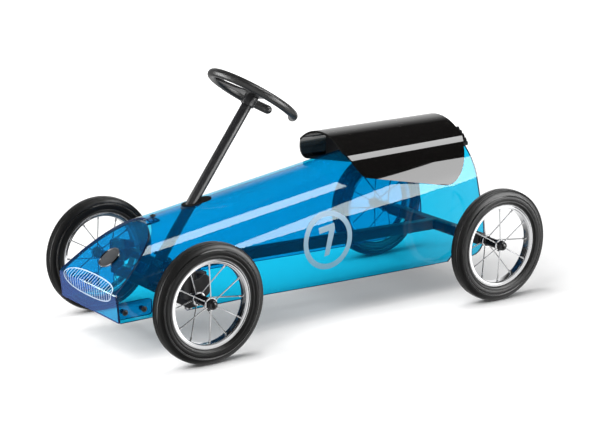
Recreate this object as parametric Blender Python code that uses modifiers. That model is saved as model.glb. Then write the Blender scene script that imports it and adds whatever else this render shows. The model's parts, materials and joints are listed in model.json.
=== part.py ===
"""A child's ride-on racing car: a body of bent see-through sheet on a welded steel frame.

All sizes are in metres. The car faces -Y, +Z is up and +X is the car's left side. It stands on
Z = 0. Distances along the car are counted from the front axle or from the rear axle, backwards.
"""

from math import atan2, cos, pi, radians, sin, sqrt, tan

import bmesh
import bpy
from mathutils import Matrix, Vector
from mathutils.geometry import interpolate_bezier

# Clearances
GAP = 0.0003
OVERLAP = 0.002

# Wheels
TYRE_RADIUS = 0.110
TYRE_WIDTH = 0.029
TREAD_WIDTH = 0.011
RIM_RADIUS = 0.0815
RIM_WIDTH = 0.0156
RIM_DEPTH = 0.0095
RIM_WALL = 0.0015
TYRE_LIP = 0.0012
WHEEL_STEPS = 30
WHEELBASE = 0.664
FRONT_TRACK = 0.381
REAR_TRACK = 0.384
SPOKE_COUNT = 12
SPOKE_RADIUS = 0.0012
SPOKE_SIDES = 4
HUB_RADIUS = 0.0095
HUB_INNER_REACH = 0.0405
HUB_OUTER_REACH = 0.0095
HUB_STEPS = 14
FLANGE_RADIUS = 0.0178
SPOKE_CIRCLE = 0.0155
FLANGE_THICKNESS = 0.003
INNER_FLANGE_OFFSET = -0.0255
OUTER_FLANGE_OFFSET = 0.0070
AXLE_RADIUS = 0.004
ROUND_STEPS = 12
AXLE_CAP_RADIUS = 0.0105
AXLE_CAP_LENGTH = 0.0105
AXLE_CAP_GRIP = 0.007

# Bent body sheet
SHEET = 0.004
BODY_HALF_WIDTH = 0.1012
RIDGE_HEIGHT = 0.2236
RIDGE_SLOPE = radians(8.44)
ARCH_STEPS = 26
BODY_BOTTOM_FRONT = 0.0707
BODY_BOTTOM_REAR = 0.0613
LOBE_RADIUS = 0.030
LOBE_HEIGHT = 0.093
SHOULDER_BACK = 0.0418
SHOULDER_HEIGHT = 0.130
CROWN_AHEAD = 0.006
CROWN_RISE = 0.012
LEVEL_END = 0.137
FRONT_SLOT_FRONT = 0.022
FRONT_SLOT_REAR = 0.012
FRONT_SLOT_FLARE = 0.081
FRONT_SLOT_TOP = 0.142
BAR_SLOT_REAR = 0.036
BAR_SLOT_LOW = 0.112
REAR_SLOT_HALF = 0.0132
REAR_SLOT_FLARE = 0.0955

# Nose sheet
NOSE_OVERHANG = 0.135
NOSE_LEAN = 0.005
NOSE_BOTTOM = 0.072
FOLD_HEIGHT = 0.1225
NOSE_SLOPE = radians(38.5)
FOLD_RADIUS = 0.007
TAB_HALF_WIDTH = 0.012
TAB_REACH = 0.018
FLANGE_LENGTH = 0.077
FLANGE_BOTTOM = 0.076
FLANGE_TOP = 0.106
SCREW_RADIUS = 0.002
SCREW_HEAD_RADIUS = 0.0055
SCREW_HEAD_HEIGHT = 0.003
SCREW_NUT_RADIUS = 0.0045
SCREW_NUT_HEIGHT = 0.0035
SCREW_HEIGHT = 0.090
SCREWS_AHEAD_OF_AXLE = (0.1166, 0.078)
RIDGE_SCREW_BEHIND_AXLE = 0.004
DISC_RADIUS = 0.0195
DISC_THICKNESS = 0.0018
DISC_RING_RADIUS = 0.0225
DISC_RING_HEIGHT = 0.0026
DISC_UP_PANEL = 0.0615

# Seat
SEAT_SHEET = 0.004
SEAT_RISE = 0.0076
SEAT_LENGTH = 0.2854
SEAT_REAR = 0.002
SEAT_WALL_DEPTH = 0.05
SEAT_FRONT_EDGE = 0.026
FLAP_START_BACK = 0.0354
FLAP_START_DEPTH = 0.075
FLAP_LOW_AHEAD = 0.066
FLAP_LOW_DEPTH = 0.1145
SEAT_REAR_EDGE = 0.0317
SUPPORT_LENGTH = 0.024
REAR_SUPPORT_REAR = 0.012
REAR_SUPPORT_HALF_WIDTH = 0.0894
FRONT_SUPPORT_SET_BACK = 0.060
FRONT_SUPPORT_HALF_WIDTH = 0.066

# Frame
BEAM = 0.020
AXLE_BEAM = 0.016
KINGPIN_OFFSET = 0.124
BEAM_END = 0.012
RAIL_RISE = 0.006
RAIL_FRONT = 0.014
RAIL_REAR = 0.100
MAIN_BEAM_FRONT = 0.050
MAIN_BEAM_FRONT_HEIGHT = 0.1245
CROSS_BEAM_END = 0.0475

# Steering knuckles
KINGPIN_RADIUS = 0.004
KINGPIN_HEAD_RADIUS = 0.0075
KINGPIN_HEAD = 0.004
KNUCKLE_BOSS_RADIUS = 0.0135
KNUCKLE_TOP = 0.151
SOCKET_RADIUS = 0.0065
WEB_INNER = 0.0108
WEB_THICKNESS = 0.006
WEB_LOBE_RADIUS = 0.015
WEB_LOBE_BEHIND = 0.022
STEERING_ARM = 0.028
ARM_LOBE_RADIUS = 0.009
ARM_TOP = 0.146
ARM_CAP = 0.001
TIE_PIN_RADIUS = 0.003
TIE_PIN_PLAY = 0.0006
STEER_ANGLE = radians(25)

# Steering bar
BAR_DEPTH = 0.010
BAR_HEIGHT = 0.014
BAR_OVER_RAIL = 0.002
EYE_WALL = 0.0025
DRIVE_PIN_RADIUS = 0.003
DRIVE_BOSS_RADIUS = 0.006
DRIVE_BOSS_START = 0.036
DRIVE_BOSS_GAP = 0.0012
DRIVE_PIN_RISE = 0.002
DRIVE_RADIUS = 0.0181
COLUMN_ANGLE = radians(33)

# Steering column and wheel
COLUMN_TILT = radians(35.93)
FOOT_AHEAD_OF_AXLE = 0.0088
FOOT_UNDER_RAIL_TOP = 0.012
SPINDLE_RADIUS = 0.006
SPINDLE_START = 0.0205
FOOT_RADIUS = 0.012
FOOT_END = 0.031
COLLAR_RADIUS = 0.009
COLUMN_START = 0.043
COLUMN_RADIUS = 0.010
COLUMN_WALL = 0.002
SPINDLE_PLUG = 0.030
ARM_START = 0.049
ARM_THICKNESS = 0.006
ARM_HUB_RADIUS = 0.015
ARM_REACH = 0.030
ARM_SLOT_PLAY = 0.0008
ARM_SLOT_WALL = 0.004
RING_CENTRE = 0.393
RING_RADIUS = 0.088
RING_TUBE = 0.0095
RING_OPENING = radians(60)
HUB_BARREL_RADIUS = 0.013
HUB_BARREL_LENGTH = 0.022
SPOKE_PLATE = 0.005
SPOKE_FRONT_MIDDLE = (0, -0.0209)
SPOKE_FRONT_TIP = (0.0745, -0.0515)
SPOKE_REAR_TIP = (0.0850, -0.0200)
SPOKE_REAR_MIDDLE = (0, 0.0125)

# Column collar on the ridge
COLLAR_LENGTH = 0.058
COLLAR_WIDTH = 0.030
COLLAR_REAR_SHIFT = 0.014
COLLAR_PROUD = 0.0037
SLEEVE_RADIUS = 0.014
SLEEVE_DEPTH = 0.005

# Places worked out from the sizes above
SIDE_RISE = BODY_HALF_WIDTH - sqrt(BODY_HALF_WIDTH**2 - TAB_HALF_WIDTH**2)
FRONT_AXLE_Y = -(WHEELBASE + TYRE_RADIUS - NOSE_OVERHANG) / 2
REAR_AXLE_Y = FRONT_AXLE_Y + WHEELBASE
AXLE_HEIGHT = TYRE_RADIUS
BEAM_TOP = AXLE_HEIGHT - SOCKET_RADIUS - 0.0005
RAIL_TOP = AXLE_HEIGHT + RAIL_RISE
BAR_BOTTOM = RAIL_TOP + BAR_OVER_RAIL
BAR_TOP = BAR_BOTTOM + BAR_HEIGHT
COLUMN_FOOT = Vector((0, FRONT_AXLE_Y - FOOT_AHEAD_OF_AXLE, RAIL_TOP - FOOT_UNDER_RAIL_TOP))
COLUMN_AXIS = Vector((0, sin(COLUMN_TILT), cos(COLUMN_TILT)))
RIDGE_NORMAL = Vector((0, -sin(RIDGE_SLOPE), cos(RIDGE_SLOPE)))
ARCH_AXIS_START = Vector((0, FRONT_AXLE_Y, RIDGE_HEIGHT - BODY_HALF_WIDTH / cos(RIDGE_SLOPE)))
SEAT_RADIUS = BODY_HALF_WIDTH + GAP + SEAT_SHEET


def fold_set_back():
    """How far the rounded fold's foremost line lies behind the sharp corner of its two panels."""
    down = Vector((NOSE_LEAN, NOSE_BOTTOM - FOLD_HEIGHT)).normalized()
    up = Vector((cos(NOSE_SLOPE), sin(NOSE_SLOPE)))
    half = down.angle(up) / 2
    return (down + up).normalized().x * FOLD_RADIUS / sin(half) - FOLD_RADIUS


FOLD_Y = FRONT_AXLE_Y - NOSE_OVERHANG - fold_set_back()


def ridge_z(y):
    """Height of the body's ridge, over the point y along the car."""
    return RIDGE_HEIGHT + tan(RIDGE_SLOPE) * (y - FRONT_AXLE_Y)


SEAT_TOP = ridge_z(REAR_AXLE_Y) + SEAT_RISE + SEAT_SHEET
SEAT_AXIS_Z = SEAT_TOP - SEAT_RADIUS

# Scene, collections and materials
for old in list(bpy.data.objects):
    bpy.data.objects.remove(old)

car = bpy.data.collections.new("ride_on_car")
cutters = bpy.data.collections.new("cutters")
bpy.context.scene.collection.children.link(car)
bpy.context.scene.collection.children.link(cutters)

FINISHES = {
    "blue_sheet": ((0.0, 0.32, 0.72), 0.06, 0.0, 0.55),
    "seat_black": ((0.012, 0.012, 0.013), 0.12, 0.0, 1.0),
    "frame_black": ((0.02, 0.02, 0.022), 0.5, 0.3, 1.0),
    "steering_black": ((0.03, 0.03, 0.032), 0.6, 0.0, 1.0),
    "rubber": ((0.025, 0.025, 0.026), 0.8, 0.0, 1.0),
    "chrome": ((0.82, 0.83, 0.85), 0.12, 1.0, 1.0),
    "screw_black": ((0.015, 0.015, 0.016), 0.35, 0.2, 1.0),
    "disc_grey": ((0.55, 0.58, 0.62), 0.35, 0.6, 1.0),
}


def finish_material(node, finish):
    """A Principled material of its own for one node."""
    colour, roughness, metallic, alpha = FINISHES[finish]
    material = bpy.data.materials.new(node + "_" + finish)
    material.use_nodes = True
    shader = material.node_tree.nodes["Principled BSDF"]
    shader.inputs["Base Color"].default_value = (*colour, 1.0)
    shader.inputs["Roughness"].default_value = roughness
    shader.inputs["Metallic"].default_value = metallic
    shader.inputs["Alpha"].default_value = alpha
    material.diffuse_color = (*colour, alpha)
    return material


# Building blocks
def new_object(name, mesh):
    obj = bpy.data.objects.new(name, mesh)
    cutters.objects.link(obj)
    obj.hide_render = True
    obj.display_type = "WIRE"
    return obj


def mesh_from(name, shape):
    mesh = bpy.data.meshes.new(name)
    shape.to_mesh(mesh)
    shape.free()
    return new_object(name, mesh)


def box(name, low, high):
    """A box between two opposite corners."""
    low = Vector(low)
    high = Vector(high)
    shape = bmesh.new()
    bmesh.ops.create_cube(shape, size=1)
    bmesh.ops.scale(shape, vec=high - low, verts=shape.verts)
    bmesh.ops.translate(shape, vec=(low + high) / 2, verts=shape.verts)
    return mesh_from(name, shape)


def rod(name, start, end, radius, sides=16):
    """A round bar between two points."""
    start = Vector(start)
    end = Vector(end)
    along = end - start
    shape = bmesh.new()
    bmesh.ops.create_cone(
        shape, cap_ends=True, segments=sides, radius1=radius, radius2=radius, depth=along.length
    )
    turn = along.to_track_quat("Z", "Y").to_matrix().to_4x4()
    shape.transform(Matrix.Translation((start + end) / 2) @ turn)
    return mesh_from(name, shape)


def turned(name, profile, steps, closed):
    """A profile of (radius, height) points, outer side top to bottom, turned round the Z axis."""
    shape = bmesh.new()
    points = [shape.verts.new((radius, 0, height)) for radius, height in profile]
    for first, second in zip(points, points[1:]):
        shape.edges.new((first, second))
    if closed:
        shape.edges.new((points[-1], points[0]))
    obj = mesh_from(name, shape)
    screw = obj.modifiers.new("turn", "SCREW")
    screw.axis = "Z"
    screw.angle = 2 * pi
    screw.steps = steps
    screw.render_steps = steps
    screw.use_merge_vertices = True
    screw.merge_threshold = 0.00001
    return obj


def flat_plate(name, outline, thickness, place):
    """A closed outline of (x, y) points, extruded to both sides of its plane, then placed."""
    curve = bpy.data.curves.new(name, "CURVE")
    curve.dimensions = "2D"
    curve.fill_mode = "BOTH"
    curve.extrude = thickness / 2
    spline = curve.splines.new("POLY")
    spline.points.add(len(outline) - 1)
    for point, (x, y) in zip(spline.points, outline):
        point.co = (x, y, 0, 1)
    spline.use_cyclic_u = True
    return meshed(new_object(name, curve), place)


def meshed(source, place=Matrix.Identity(4)):
    """A curve object made into a mesh object whose caps are welded."""
    bpy.context.view_layer.update()
    graph = bpy.context.evaluated_depsgraph_get()
    mesh = bpy.data.meshes.new_from_object(source.evaluated_get(graph))
    shape = bmesh.new()
    shape.from_mesh(mesh)
    shape.transform(place @ source.matrix_world)
    bmesh.ops.remove_doubles(shape, verts=shape.verts, dist=0.000005)
    bmesh.ops.recalc_face_normals(shape, faces=shape.faces)
    shape.to_mesh(mesh)
    shape.free()
    name = source.name
    bpy.data.objects.remove(source)
    return new_object(name, mesh)


def shared_mesh(source):
    """The finished mesh of an object with modifiers, for pieces that share it."""
    bpy.context.view_layer.update()
    graph = bpy.context.evaluated_depsgraph_get()
    mesh = bpy.data.meshes.new_from_object(source.evaluated_get(graph))
    bpy.data.objects.remove(source)
    return mesh


def combine(obj, other, operation):
    boolean = obj.modifiers.new(other.name, "BOOLEAN")
    boolean.operation = operation
    boolean.solver = "EXACT"
    boolean.object = other
    return obj


def join(obj, *others):
    for other in others:
        combine(obj, other, "UNION")
    return obj


def cut(obj, *others):
    for other in others:
        combine(obj, other, "DIFFERENCE")
    return obj


def keep_inside(obj, *others):
    for other in others:
        combine(obj, other, "INTERSECT")
    return obj


def empty(name, place, parent=None):
    """A joint axis that moving pieces hang on."""
    pivot = bpy.data.objects.new(name, None)
    car.objects.link(pivot)
    pivot.matrix_world = place
    if parent:
        bpy.context.view_layer.update()
        pivot.parent = parent
        pivot.matrix_parent_inverse = parent.matrix_world.inverted()
    return pivot


def finished(obj, name, finish, parent=None, sharp=35):
    """Names a piece, gives it its material, smooths its round faces and hangs it on its axis."""
    cutters.objects.unlink(obj)
    car.objects.link(obj)
    obj.name = name
    obj.hide_render = False
    obj.display_type = "TEXTURED"
    obj.data.materials.clear()
    obj.data.materials.append(finish_material(name, finish))
    obj.data.shade_smooth()
    obj.data.set_sharp_from_angle(angle=radians(sharp))
    if parent:
        bpy.context.view_layer.update()
        obj.parent = parent
        obj.matrix_parent_inverse = parent.matrix_world.inverted()
    return obj


def arc(centre, radius, start, end, steps):
    """Points on an arc in a plane, with both its ends."""
    turn = (end - start) / steps
    return [
        (centre[0] + radius * cos(start + turn * i), centre[1] + radius * sin(start + turn * i))
        for i in range(steps + 1)
    ]


def bezier(first, handle_1, handle_2, last, steps):
    """Points on a cubic curve in a plane, with both its ends."""
    corners = [Vector((x, y, 0)) for x, y in (first, handle_1, handle_2, last)]
    return [(point.x, point.y) for point in interpolate_bezier(*corners, steps + 1)]


def between(start, end, along, up):
    """A point at one share of the way along and another share of the way up."""
    return (start[0] + (end[0] - start[0]) * along, start[1] + (end[1] - start[1]) * up)


def filleted(points, radius, steps):
    """An open line of points whose inner corners are rounded by arcs of one radius."""
    line = [points[0]]
    for before, corner, after in zip(points, points[1:], points[2:]):
        corner = Vector(corner)
        to_before = (Vector(before) - corner).normalized()
        to_after = (Vector(after) - corner).normalized()
        half = to_before.angle(to_after) / 2
        centre = corner + (to_before + to_after).normalized() * (radius / sin(half))
        first = corner + to_before * (radius / tan(half)) - centre
        last = corner + to_after * (radius / tan(half)) - centre
        start = atan2(first.y, first.x)
        sweep = first.angle_signed(last)
        line += arc(centre, radius, start, start - sweep, steps)
    return line + [points[-1]]


# A side outline is drawn in (y, z) and spans the car's width
SIDE_VIEW = Matrix(((0, 0, 1, 0), (1, 0, 0, 0), (0, 1, 0, 0), (0, 0, 0, 1)))
WIDER_THAN_CAR = 0.6
LONGER_THAN_CAR = 2.0


def side_prism(name, outline, low_x=-WIDER_THAN_CAR / 2, high_x=WIDER_THAN_CAR / 2):
    """A side-view outline stretched across the car between two X values."""
    centre = Matrix.Translation(((low_x + high_x) / 2, 0, 0))
    return flat_plate(name, outline, high_x - low_x, centre @ SIDE_VIEW)


def arch_line(radius, depth, steps=ARCH_STEPS):
    """Half a circle over two straight walls, as (x, z) points from the right wall's foot."""
    return [(radius, -depth)] + arc((0, 0), radius, 0, pi, steps) + [(-radius, -depth)]


def bent_sheet(name, radius, thickness, place, depth=0.25):
    """An arch-shaped sheet along the place's Y axis. Its wall grows inwards from the radius."""
    shape = bmesh.new()
    half = LONGER_THAN_CAR / 2
    line = [shape.verts.new((x, -half, z)) for x, z in arch_line(radius, depth)]
    edges = [shape.edges.new(pair) for pair in zip(line, line[1:])]
    swept = bmesh.ops.extrude_edge_only(shape, edges=edges)["geom"]
    moved = [item for item in swept if isinstance(item, bmesh.types.BMVert)]
    bmesh.ops.translate(shape, vec=(0, 2 * half, 0), verts=moved)
    for face in shape.faces:
        middle = face.calc_center_median()
        face.normal_update()
        if face.normal.dot(Vector((middle.x, 0, max(middle.z, 0)))) < 0:
            face.normal_flip()
    shape.transform(place)
    obj = mesh_from(name, shape)
    wall = obj.modifiers.new("wall", "SOLIDIFY")
    wall.thickness = thickness
    wall.offset = -1
    wall.use_even_offset = True
    return obj


def arch_block(name, radius, place, depth=0.25):
    """A solid arch along the place's Y axis."""
    stood_up = Matrix.Rotation(pi / 2, 4, "X")
    return flat_plate(name, arch_line(radius, depth), LONGER_THAN_CAR, place @ stood_up)


BODY_PLACE = Matrix.Translation(ARCH_AXIS_START) @ Matrix.Rotation(RIDGE_SLOPE, 4, "X")
SEAT_PLACE = Matrix.Translation((0, 0, SEAT_AXIS_Z))


def on_column(distance, radial=0.0, sideways=0.0):
    """A point by its distance up the column, out behind the column and to the car's left."""
    behind = Vector((0, cos(COLUMN_TILT), -sin(COLUMN_TILT)))
    return COLUMN_FOOT + COLUMN_AXIS * distance + behind * radial + Vector((sideways, 0, 0))


COLUMN_TURN = Matrix.Rotation(-COLUMN_TILT, 4, "X")


def column_place(distance):
    """A place on the column whose Z axis runs up it and whose Y axis points behind it."""
    return Matrix.Translation(on_column(distance)) @ COLUMN_TURN


# Body sheet: the outline that the flat sheet was cut to, seen from the side
def nose_front_y(z):
    """The front panel's outer face at a height below the fold."""
    return FOLD_Y + NOSE_LEAN * (FOLD_HEIGHT - z) / (FOLD_HEIGHT - NOSE_BOTTOM)


def nose_top_z(y):
    """The sloping panel's outer face at a place behind the fold."""
    return FOLD_HEIGHT + tan(NOSE_SLOPE) * (y - FOLD_Y)


FRONT_EDGE_BACK = SHEET + GAP


def front_slot():
    """The slot for the axle beam, flared at its front, with room for the steering bar behind."""
    front = FRONT_AXLE_Y
    low = BODY_BOTTOM_FRONT
    step = (BAR_SLOT_REAR - FRONT_SLOT_REAR) / 2
    return [
        (front - FRONT_SLOT_FRONT - (FRONT_SLOT_FLARE - low), low),
        (front - FRONT_SLOT_FRONT, FRONT_SLOT_FLARE),
        (front - FRONT_SLOT_FRONT, FRONT_SLOT_TOP),
        (front + BAR_SLOT_REAR, FRONT_SLOT_TOP),
        (front + BAR_SLOT_REAR, BAR_SLOT_LOW),
        (front + FRONT_SLOT_REAR, BAR_SLOT_LOW - step),
        (front + FRONT_SLOT_REAR, low),
    ]


def lower_edge():
    """The bottom edge, level behind the front slot and falling gently to the rear slot's flare."""
    start = (FRONT_AXLE_Y + LEVEL_END, BODY_BOTTOM_FRONT)
    low = BODY_BOTTOM_REAR
    end = (REAR_AXLE_Y - REAR_SLOT_HALF - (REAR_SLOT_FLARE - low), low)
    return bezier(start, between(start, end, 0.33, 0.45), between(start, end, 0.67, 0.88), end, 6)


def rear_edge():
    """The rear end: a round lobe behind the axle, then a long sweep up and forward to the ridge."""
    rear = REAR_AXLE_Y
    lobe = (rear + REAR_SLOT_HALF + GAP, LOBE_HEIGHT)
    lobe_rear = (lobe[0] + LOBE_RADIUS, LOBE_HEIGHT)
    shoulder = (rear + SHOULDER_BACK, SHOULDER_HEIGHT)
    crown = (rear - CROWN_AHEAD, ridge_z(rear) + CROWN_RISE)
    handles = (between(lobe_rear, shoulder, -0.59, 0.30), between(lobe_rear, shoulder, -0.18, 0.65))
    lower = bezier(lobe_rear, *handles, shoulder, 3)
    handles = (between(shoulder, crown, 0.455, 0.54), between(shoulder, crown, 0.71, 0.76))
    upper = bezier(shoulder, *handles, crown, 9)
    return arc(lobe, LOBE_RADIUS, -pi / 2, 0, 6) + lower[1:] + upper[1:]


def body_outline():
    """The side view of the body sheet, from the front bottom corner towards the rear."""
    rear = REAR_AXLE_Y
    half = REAR_SLOT_HALF
    slot_top = AXLE_HEIGHT + BEAM / 2 + GAP
    peak = ridge_z(rear) + 2 * CROWN_RISE
    edge_y = FOLD_Y + FRONT_EDGE_BACK
    outline = [(nose_front_y(BODY_BOTTOM_FRONT) + FRONT_EDGE_BACK, BODY_BOTTOM_FRONT)]
    outline += front_slot() + lower_edge()
    outline += [(rear - half, REAR_SLOT_FLARE), (rear - half, slot_top), (rear + half, slot_top)]
    outline += rear_edge()
    outline += [(rear - CROWN_AHEAD, peak), (FOLD_Y + (peak - FOLD_HEIGHT) / tan(NOSE_SLOPE), peak)]
    return outline + [(edge_y, nose_top_z(edge_y))]


def column_hole(name, radius):
    return rod(name, on_column(0.10), on_column(0.33), radius, 24)


def side_screw_holes(name):
    """One drill through both walls for each screw place."""
    reach = BODY_HALF_WIDTH + 0.05
    return [
        rod(
            name + "_" + str(number),
            (-reach, FRONT_AXLE_Y - ahead, SCREW_HEIGHT),
            (reach, FRONT_AXLE_Y - ahead, SCREW_HEIGHT),
            SCREW_RADIUS + GAP,
            10,
        )
        for number, ahead in enumerate(SCREWS_AHEAD_OF_AXLE)
    ]


def ridge_point(behind_axle, above=0.0):
    """A point over the ridge line, square to it."""
    y = FRONT_AXLE_Y + behind_axle
    return Vector((0, y, ridge_z(y))) + RIDGE_NORMAL * above


def ridge_screw_hole(name):
    low = ridge_point(RIDGE_SCREW_BEHIND_AXLE, -0.03)
    high = ridge_point(RIDGE_SCREW_BEHIND_AXLE, 0.03)
    return rod(name, low, high, SCREW_RADIUS + GAP, 10)


def build_body():
    shell = bent_sheet("body_shell", BODY_HALF_WIDTH, SHEET, BODY_PLACE)
    keep_inside(shell, side_prism("body_outline", body_outline()))
    cut(shell, column_hole("body_column_hole", SLEEVE_RADIUS + GAP))
    cut(shell, ridge_screw_hole("body_ridge_drill"), *side_screw_holes("body_side_drill"))
    finished(shell, "body_shell", "blue_sheet")


# Nose sheet: sloping panel, front panel, side flanges and the tab under the ridge
def build_nose():
    tab_z = ridge_z(FRONT_AXLE_Y) - (SHEET + GAP) / cos(RIDGE_SLOPE)
    tab_z -= SIDE_RISE
    slopes = tan(NOSE_SLOPE) - tan(RIDGE_SLOPE)
    apex_y = FOLD_Y + (tab_z - FOLD_HEIGHT + tan(RIDGE_SLOPE) * (FOLD_Y - FRONT_AXLE_Y)) / slopes
    tab_end_y = FRONT_AXLE_Y + TAB_REACH
    line = [
        (nose_front_y(NOSE_BOTTOM), NOSE_BOTTOM),
        (FOLD_Y, FOLD_HEIGHT),
        (apex_y, nose_top_z(apex_y)),
        (tab_end_y, tab_z + tan(RIDGE_SLOPE) * (tab_end_y - FRONT_AXLE_Y)),
    ]
    shape = bmesh.new()
    path = filleted(line, FOLD_RADIUS, 4)
    verts = [shape.verts.new((-BODY_HALF_WIDTH - 0.01, y, z)) for y, z in path]
    edges = [shape.edges.new(pair) for pair in zip(verts, verts[1:])]
    swept = bmesh.ops.extrude_edge_only(shape, edges=edges)["geom"]
    moved = [item for item in swept if isinstance(item, bmesh.types.BMVert)]
    bmesh.ops.translate(shape, vec=(2 * BODY_HALF_WIDTH + 0.02, 0, 0), verts=moved)
    for face in shape.faces:
        face.normal_update()
        if face.normal.dot(Vector((0, -1, 0.6))) < 0:
            face.normal_flip()
    nose = mesh_from("nose_panel", shape)
    wall = nose.modifiers.new("wall", "SOLIDIFY")
    wall.thickness = SHEET
    wall.offset = -1
    wall.use_even_offset = True
    behind_edge = FRONT_EDGE_BACK - GAP
    wall_side = [
        (nose_front_y(0) + behind_edge, 0),
        (REAR_AXLE_Y, 0),
        (REAR_AXLE_Y, 0.5),
        (FOLD_Y + behind_edge, 0.5),
        (FOLD_Y + behind_edge, FOLD_HEIGHT),
    ]
    wall_room = bent_sheet("nose_wall_room", BODY_HALF_WIDTH + 0.04, SHEET + GAP + 0.04, BODY_PLACE)
    keep_inside(wall_room, side_prism("nose_wall_room_side", wall_side))
    keep_inside(nose, arch_block("nose_section", BODY_HALF_WIDTH, BODY_PLACE))
    cut(nose, wall_room)
    tab_side = [
        (apex_y + SHEET, 0.15),
        (REAR_AXLE_Y, 0.15),
        (REAR_AXLE_Y, 0.4),
        (apex_y + SHEET, 0.4),
    ]
    for side in (-1, 1):
        ends = sorted((side * TAB_HALF_WIDTH, side * 0.2))
        cut(nose, side_prism("nose_tab_side_" + str(side), tab_side, *ends))
    flange_rear = FOLD_Y + FLANGE_LENGTH
    flange = [
        (nose_front_y(FLANGE_BOTTOM) + SHEET / 2, FLANGE_BOTTOM),
        (flange_rear, FLANGE_BOTTOM),
        (flange_rear, FLANGE_TOP),
        (nose_front_y(FLANGE_TOP) + SHEET / 2, FLANGE_TOP),
    ]
    outer_x = BODY_HALF_WIDTH - SHEET - GAP
    for side in (-1, 1):
        ends = sorted((side * outer_x, side * (outer_x - SHEET)))
        join(nose, side_prism("nose_flange_" + str(side), flange, *ends))
    cut(nose, ridge_screw_hole("nose_ridge_drill"), *side_screw_holes("nose_side_drill"))
    finished(nose, "nose_panel", "blue_sheet")


def screw_mesh():
    """A round-headed screw along Z, its head resting at Z = 0, with the nut that closes it."""
    stack = 2 * SHEET + 2 * GAP
    nut_low = -stack - SCREW_NUT_HEIGHT
    head = SCREW_HEAD_RADIUS
    profile = [(0, GAP + SCREW_HEAD_HEIGHT)]
    profile += [(head * 0.6, GAP + SCREW_HEAD_HEIGHT * 0.8), (head, GAP + SCREW_HEAD_HEIGHT * 0.3)]
    profile += [(head, GAP), (SCREW_RADIUS, GAP), (SCREW_RADIUS, -stack)]
    profile += [(SCREW_NUT_RADIUS, -stack), (SCREW_NUT_RADIUS, nut_low), (0, nut_low)]
    return shared_mesh(turned("screw", profile, 8, closed=False))


def build_screws():
    mesh = screw_mesh()
    for side, side_name in ((1, "left"), (-1, "right")):
        for ahead, place_name in zip(SCREWS_AHEAD_OF_AXLE, ("front", "rear")):
            screw = new_object("screw", mesh.copy())
            outward = Matrix.Rotation(side * pi / 2, 4, "Y")
            place = (side * BODY_HALF_WIDTH, FRONT_AXLE_Y - ahead, SCREW_HEIGHT)
            screw.matrix_world = Matrix.Translation(place) @ outward
            finished(screw, "nose_screw_" + side_name + "_" + place_name, "screw_black")
    screw = new_object("screw", mesh.copy())
    for vertex in screw.data.vertices:
        if vertex.co.z < -SHEET:
            vertex.co.z -= SIDE_RISE
    place = ridge_point(RIDGE_SCREW_BEHIND_AXLE)
    screw.matrix_world = Matrix.Translation(place) @ Matrix.Rotation(RIDGE_SLOPE, 4, "X")
    finished(screw, "nose_screw_ridge", "screw_black")


def build_disc():
    """The plain disc on the sloping panel, and the metal ring round it."""
    up = Vector((0, cos(NOSE_SLOPE), sin(NOSE_SLOPE)))
    centre = Vector((0, FOLD_Y, FOLD_HEIGHT)) + up * DISC_UP_PANEL
    place = Matrix.Translation(centre) @ Matrix.Rotation(NOSE_SLOPE, 4, "X")
    crown = GAP + DISC_THICKNESS
    profile = [(0, crown), (DISC_RADIUS * 0.6, crown - 0.0001), (DISC_RADIUS, crown - 0.0006)]
    profile += [(DISC_RADIUS, GAP), (0, GAP)]
    disc = turned("disc", profile, 24, closed=False)
    disc.matrix_world = place
    finished(disc, "nose_disc", "disc_grey")
    inner = DISC_RADIUS + GAP
    outer = DISC_RING_RADIUS
    top = GAP + DISC_RING_HEIGHT
    profile = [(inner, top - 0.0006), (inner + 0.0007, top), (outer - 0.0008, top)]
    profile += [(outer, top - 0.0012), (outer, GAP), (inner, GAP)]
    ring = turned("ring", profile, 24, closed=True)
    ring.matrix_world = place
    finished(ring, "nose_disc_ring", "chrome")


# Seat and its supports
def seat_outline():
    """The side view of the seat sheet, from its front top corner round its lower edge."""
    rear = REAR_AXLE_Y
    front_y = rear - SEAT_LENGTH
    high = SEAT_TOP + 0.02
    corner = (front_y, SEAT_TOP - SEAT_FRONT_EDGE)
    flap_start = (front_y + FLAP_START_BACK, SEAT_TOP - FLAP_START_DEPTH)
    flap_low = (rear - FLAP_LOW_AHEAD, SEAT_TOP - FLAP_LOW_DEPTH)
    rear_corner = (rear + SEAT_REAR, SEAT_TOP - SEAT_REAR_EDGE)
    outline = [(front_y, high)]
    handles = (between(corner, flap_start, 0.27, 0.18), between(corner, flap_start, 0.52, 0.86))
    outline += bezier(corner, *handles, flap_start, 6)
    handles = (between(flap_low, rear_corner, 0.65, -0.115), between(flap_low, rear_corner, 0.765, 0.54))
    outline += bezier(flap_low, *handles, rear_corner, 7)
    return outline + [(rear + SEAT_REAR, high)]


def build_seat():
    seat = bent_sheet("seat", SEAT_RADIUS, SEAT_SHEET, SEAT_PLACE, SEAT_WALL_DEPTH)
    keep_inside(seat, side_prism("seat_outline", seat_outline()))
    finished(seat, "seat", "seat_black")


def build_support(name, front_y, rear_y, half_width):
    """A crescent that fills the room between the body's arch and the seat."""
    low = SEAT_AXIS_Z
    block = box(name, (-half_width, front_y, low), (half_width, rear_y, SEAT_TOP + 0.02))
    keep_inside(block, arch_block(name + "_under_seat", SEAT_RADIUS - SEAT_SHEET - GAP, SEAT_PLACE))
    cut(block, arch_block(name + "_over_body", BODY_HALF_WIDTH + GAP, BODY_PLACE))
    finished(block, name, "seat_black")


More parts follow.
